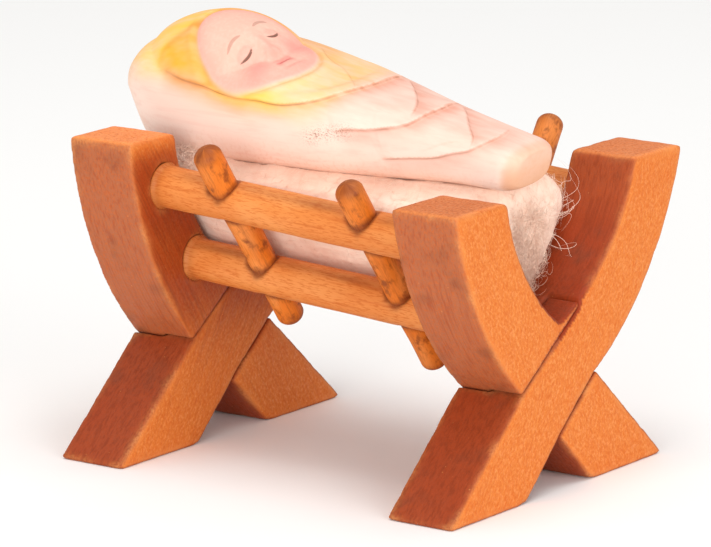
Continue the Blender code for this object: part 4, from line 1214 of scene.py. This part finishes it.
def fibre_mesh(name, paths, radius):
    """Three-sided tubes along many paths at once; the last point of each path is drawn to a tip."""
    count, steps = paths.shape[:2]
    way = np.gradient(paths, axis=1)
    way /= np.linalg.norm(way, axis=-1, keepdims=True) + 1e-12
    helper = np.where(np.abs(way[..., 2:]) < 0.8, (0.0, 0.0, 1.0), (1.0, 0.0, 0.0))
    side = np.cross(way, helper)
    side /= np.linalg.norm(side, axis=-1, keepdims=True) + 1e-12
    other = np.cross(way, side)
    taper = radius * np.interp(np.linspace(0, 1, steps), (0, 0.5, 1), (1.0, 0.9, 0.25))
    corners = []
    for corner in range(3):
        turned = 2 * math.pi * corner / 3
        corners.append(paths + taper[None, :, None] * (math.cos(turned) * side + math.sin(turned) * other))
    points = np.stack(corners, axis=2)
    one = ring_faces(steps, 3)
    quads = (one[None] + (np.arange(count) * steps * 3)[:, None, None]).reshape(-1, 4)
    ends = np.array(((0, 1, 2), (steps * 3 - 1, steps * 3 - 2, steps * 3 - 3)))
    caps = (ends[None] + (np.arange(count) * steps * 3)[:, None, None]).reshape(-1, 3)
    return mesh_from(name, points.reshape(-1, 3), [quads, caps])


def curly_paths(roots, normals, ways, lengths, lifts, curls, steps, rng):
    """Paths that leave the skin: a run along it, a lift that grows, and a slow curl round that run."""
    t = np.linspace(0, 1, steps)[None, :, None]
    across = np.cross(normals, ways)
    phase = rng.uniform(0, 2 * np.pi, (len(roots), 1, 1))
    turns = rng.uniform(0.6, 1.8, (len(roots), 1, 1))
    bend = rng.uniform(-1, 1, (len(roots), 1, 1)) * 0.5
    lengths, lifts, curls = (a[:, None, None] for a in (lengths, lifts, curls))
    swing = np.sin(phase + 2 * np.pi * turns * t) - np.sin(phase)
    nod = np.cos(phase + 2 * np.pi * turns * t) - np.cos(phase)
    return (roots[:, None] + ways[:, None] * lengths * t
            + across[:, None] * (curls * swing + bend * lengths * t ** 2)
            + normals[:, None] * (lifts * np.sin(np.pi * np.clip(t * 0.9, 0, 1)) + 0.6 * curls * nod * t))


def loose_fibres(points, normals, rng, count, length, lift, curl, steps, lean=None):
    """Fibres from random points of the skin; the lean draws them all a little one way."""
    chosen = rng.choice(len(points), min(count, len(points)), replace=False)
    roots, up = points[chosen], normals[chosen]
    ways = np.cross(up, rng.normal(size=up.shape))
    if lean is not None:
        ways = ways / np.linalg.norm(ways, axis=1, keepdims=True) + np.asarray(lean)
        ways = ways - np.sum(ways * up, axis=1, keepdims=True) * up
    ways /= np.linalg.norm(ways, axis=1, keepdims=True) + 1e-9
    sizes = [rng.uniform(*span, len(roots)) * MM for span in (length, lift, curl)]
    return curly_paths(roots - up * 0.1 * MM, up, ways, *sizes, steps, rng)


def node_tree(*nodes):
    """Search tree over the faces of some CAD nodes."""
    work = bmesh.new()
    for node in nodes:
        work.from_mesh(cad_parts[node].data)
    tree = BVHTree.FromBMesh(work)
    work.free()
    return tree


def clear_paths(paths, tree, gap):
    """Only the paths that keep this far from the surfaces in the tree."""
    clear = [all(tree.find_nearest(Vector(point), gap)[0] is None for point in path[3:]) for path in paths]
    return paths[np.array(clear, bool)]


def hugging(node, points, normals):
    """Points near a CAD node rise in a soft lip beside it and are drawn up to it, so that no slit is left.

    The lip is its height times the square of the nearness, on faces that look up. The pull is the share of
    the way that leaves the hugging gap, and it runs out over the softness at the end of its reach. Only the
    look-up of the nearest places runs point by point, because the search tree has no other form.
    """
    tree = node_tree(node)
    found = [tree.find_nearest(Vector(point), LIP_REACH) for point in points]
    near = np.array([hit[0] is not None for hit in found])
    place = np.array([hit[0] for hit in found if hit[0] is not None])
    gap = np.array([hit[3] for hit in found if hit[0] is not None])[:, None]
    moved = points[near]
    moved[:, 2:] += HUG_LIP * (1 - gap / LIP_REACH) ** 2 * np.clip(normals[near, 2:], 0, None)
    pull = (1 - HUG_GAP / np.maximum(gap, HUG_GAP)) * np.clip((HUG_REACH - gap) / HUG_SOFTNESS, 0, 1)
    way = place - moved
    way[:, 2] = np.clip(way[:, 2], 0, None)
    hugged = points.copy()
    hugged[near] = moved + pull * way
    return hugged


class MANGER_OT_wool(bpy.types.Operator):
    """Lay the raw wool: a clumped, matted tuft with loose fibres standing off it"""
    bl_idname = "manger.wool"
    bl_label = "Raw wool"

    def execute(self, context):
        wool = context.scene.manger_wool
        piece = remeshed("wool_bedding_tuft", "wool_bedding", wool.voxel, WOOL_SMOOTHING)
        mesh = piece.data
        points, normals = points_and_normals(mesh)
        clump = noise(points, (12 * MM, 6 * MM, 6 * MM), 41)
        clump += 0.4 * noise(points, (5 * MM, 3 * MM, 3 * MM), 42)
        mat = noise(points, (3.2 * MM, 0.9 * MM, 0.9 * MM), 43)
        mat += noise(points, (0.9 * MM, 2.4 * MM, 1.2 * MM), 44)
        rise = wool.clump * (0.4 * clump + 0.1) + 0.07 * MM * mat
        move_points(mesh, hugging("swaddled_baby", points + normals * rise[:, None], normals))
        middle = manger_middle()
        # The depth is painted shade: darker in the clumps' hollows, low on the tuft and under the figure's
        # low edge.
        low = soft_step(middle[2] + WOOL_SHADE_BELOW - points[:, 2], 16 * MM)
        beside = bell(points[:, 2] - middle[2] - FIGURE_LOW_EDGE, 2.5 * MM)
        beside = beside * soft_step(36 * MM - points[:, 0] + middle[0], 1 * MM)
        keep(mesh, "depth", np.clip(0.02 - 0.2 * clump + 0.22 * low + 0.4 * beside, 0, 1))
        finish = wool_finish(wool)
        finish_piece(piece, finish, "raw_wool", "wool_bedding")
        points, normals = points_and_normals(mesh)
        rng = np.random.default_rng(FIBRE_SEED)
        x, y, z = (points - middle).T
        shown = normals[:, 2] > -0.6
        foot_end = (x > 36 * MM) & shown
        regions = {
            "fuzz": shown,
            "rim": shown & (z > 54 * MM) & (x < 38 * MM),
            "tangle": foot_end,
            "low_tangle": foot_end & (z < WOOL_SHADE_BELOW - 2 * MM),
            "strays": foot_end & (y > 1 * MM) & (z > 49 * MM),
            "head_tuft": shown & (x < -30 * MM) & (y < -2 * MM) & (z > 52 * MM),
        }
        wood = node_tree(*BOARDS, *RAILS, *PEGS, "swaddled_baby")
        for name, (share, length, lift, curl, lean, thick, steps, depth) in FIBRE_SETS.items():
            where = regions[name]
            count = round(wool.fuzz * share)
            paths = loose_fibres(points[where], normals[where], rng, count, length, lift, curl, steps, lean)
            if lean:
                paths = clear_paths(paths, wood, FIBRE_CLEARANCE)
            name = "wool_bedding_" + name
            fibres = add_object(name, fibre_mesh(name, paths, wool.fibre_radius * thick))
            keep(fibres.data, "depth", np.full(len(fibres.data.vertices), depth))
            finish_piece(fibres, finish, "raw_wool")
        return {"FINISHED"}


# Stage

def aim(thing, place, target):
    thing.location = place
    thing.rotation_euler = (Vector(target) - Vector(place)).to_track_quat("-Z", "Y").to_euler()


def add_light(name, place, size, power):
    lamp = bpy.data.lights.new(name, "AREA")
    lamp.shape = "DISK"
    lamp.size = size
    lamp.energy = power
    holder = bpy.data.objects.new(name, lamp)
    bpy.context.scene.collection.objects.link(holder)
    aim(holder, place, LIGHT_TARGET)


class MANGER_OT_stage(bpy.types.Operator):
    """Set up the plain floor, the soft lights and the camera"""
    bl_idname = "manger.stage"
    bl_label = "Floor, lights and camera"

    def execute(self, context):
        stage = context.scene.manger_stage
        context.scene.view_settings.view_transform = "Standard"
        corners = [(x * FLOOR_HALF, y * FLOOR_HALF, 0) for x, y in ((-1, -1), (1, -1), (1, 1), (-1, 1))]
        mesh = bpy.data.meshes.new("floor")
        mesh.from_pydata(corners, [], [(0, 1, 2, 3)])
        floor = add_object("floor", mesh)
        recipe = Recipe("plain_floor", 0.9, stage.floor)
        faint = recipe.noise(recipe.object_place, 3.0, 1.0)
        recipe.coat(recipe.fade(faint, 0.3, 0.7) * 0.02, (0.8, 0.8, 0.8))
        mesh.materials.append(recipe.done())
        for name, (place, size) in LIGHTS.items():
            add_light(name, place, size, getattr(stage, name))
        world = bpy.data.worlds.new("surroundings")
        world.use_nodes = True
        sky = world.node_tree.nodes["Background"]
        sky.inputs["Color"].default_value = (1.0, 1.0, 1.0, 1)
        sky.inputs["Strength"].default_value = stage.sky
        context.scene.world = world
        lens = bpy.data.cameras.new("camera")
        lens.lens = CAMERA_LENS
        lens.sensor_fit = "HORIZONTAL"
        lens.sensor_width = 36.0
        lens.shift_x, lens.shift_y = CAMERA_SHIFT
        lens.clip_start, lens.clip_end = 0.05, 20.0
        camera = bpy.data.objects.new("camera", lens)
        context.scene.collection.objects.link(camera)
        back = np.array((math.sin(CAMERA_AZIMUTH) * math.cos(CAMERA_ELEVATION),
                         -math.cos(CAMERA_AZIMUTH) * math.cos(CAMERA_ELEVATION), math.sin(CAMERA_ELEVATION)))
        aim(camera, tuple(np.array(CAMERA_TARGET) + back * CAMERA_DISTANCE), CAMERA_TARGET)
        context.scene.camera = camera
        return {"FINISHED"}


class MANGER_PT_sidebar(bpy.types.Panel):
    """Buttons and settings for the manger"""
    bl_label = "Swaddled baby in a manger"
    bl_idname = "MANGER_PT_sidebar"
    bl_space_type = "VIEW_3D"
    bl_region_type = "UI"
    bl_category = "Manger"

    def draw(self, context):
        for operators, settings in PANEL_ROWS:
            box = self.layout.box()
            for operator in operators:
                box.operator(operator.bl_idname)
            group = getattr(context.scene, settings)
            for key in group.__annotations__:
                box.prop(group, key)


PANEL_ROWS = (
    ((MANGER_OT_boards, MANGER_OT_rails, MANGER_OT_pegs), "manger_wood"),
    ((MANGER_OT_wool,), "manger_wool"),
    ((MANGER_OT_figure,), "manger_figure"),
    ((MANGER_OT_stage,), "manger_stage"),
)
SETTINGS = {"manger_wood": WoodSettings, "manger_wool": WoolSettings, "manger_figure": FigureSettings,
            "manger_stage": StageSettings}
CLASSES = (*SETTINGS.values(), *(operator for operators, _ in PANEL_ROWS for operator in operators),
           MANGER_PT_sidebar)


def register():
    for made in CLASSES:
        bpy.utils.register_class(made)
    for name, group in SETTINGS.items():
        setattr(bpy.types.Scene, name, PointerProperty(type=group))


def unregister():
    for name in SETTINGS:
        delattr(bpy.types.Scene, name)
    for made in reversed(CLASSES):
        bpy.utils.unregister_class(made)


def main():
    register()
    bpy.ops.manger.boards()
    bpy.ops.manger.rails()
    bpy.ops.manger.pegs()
    bpy.ops.manger.wool()
    bpy.ops.manger.figure()
    bpy.ops.manger.stage()


if __name__ == "__main__":
    main()
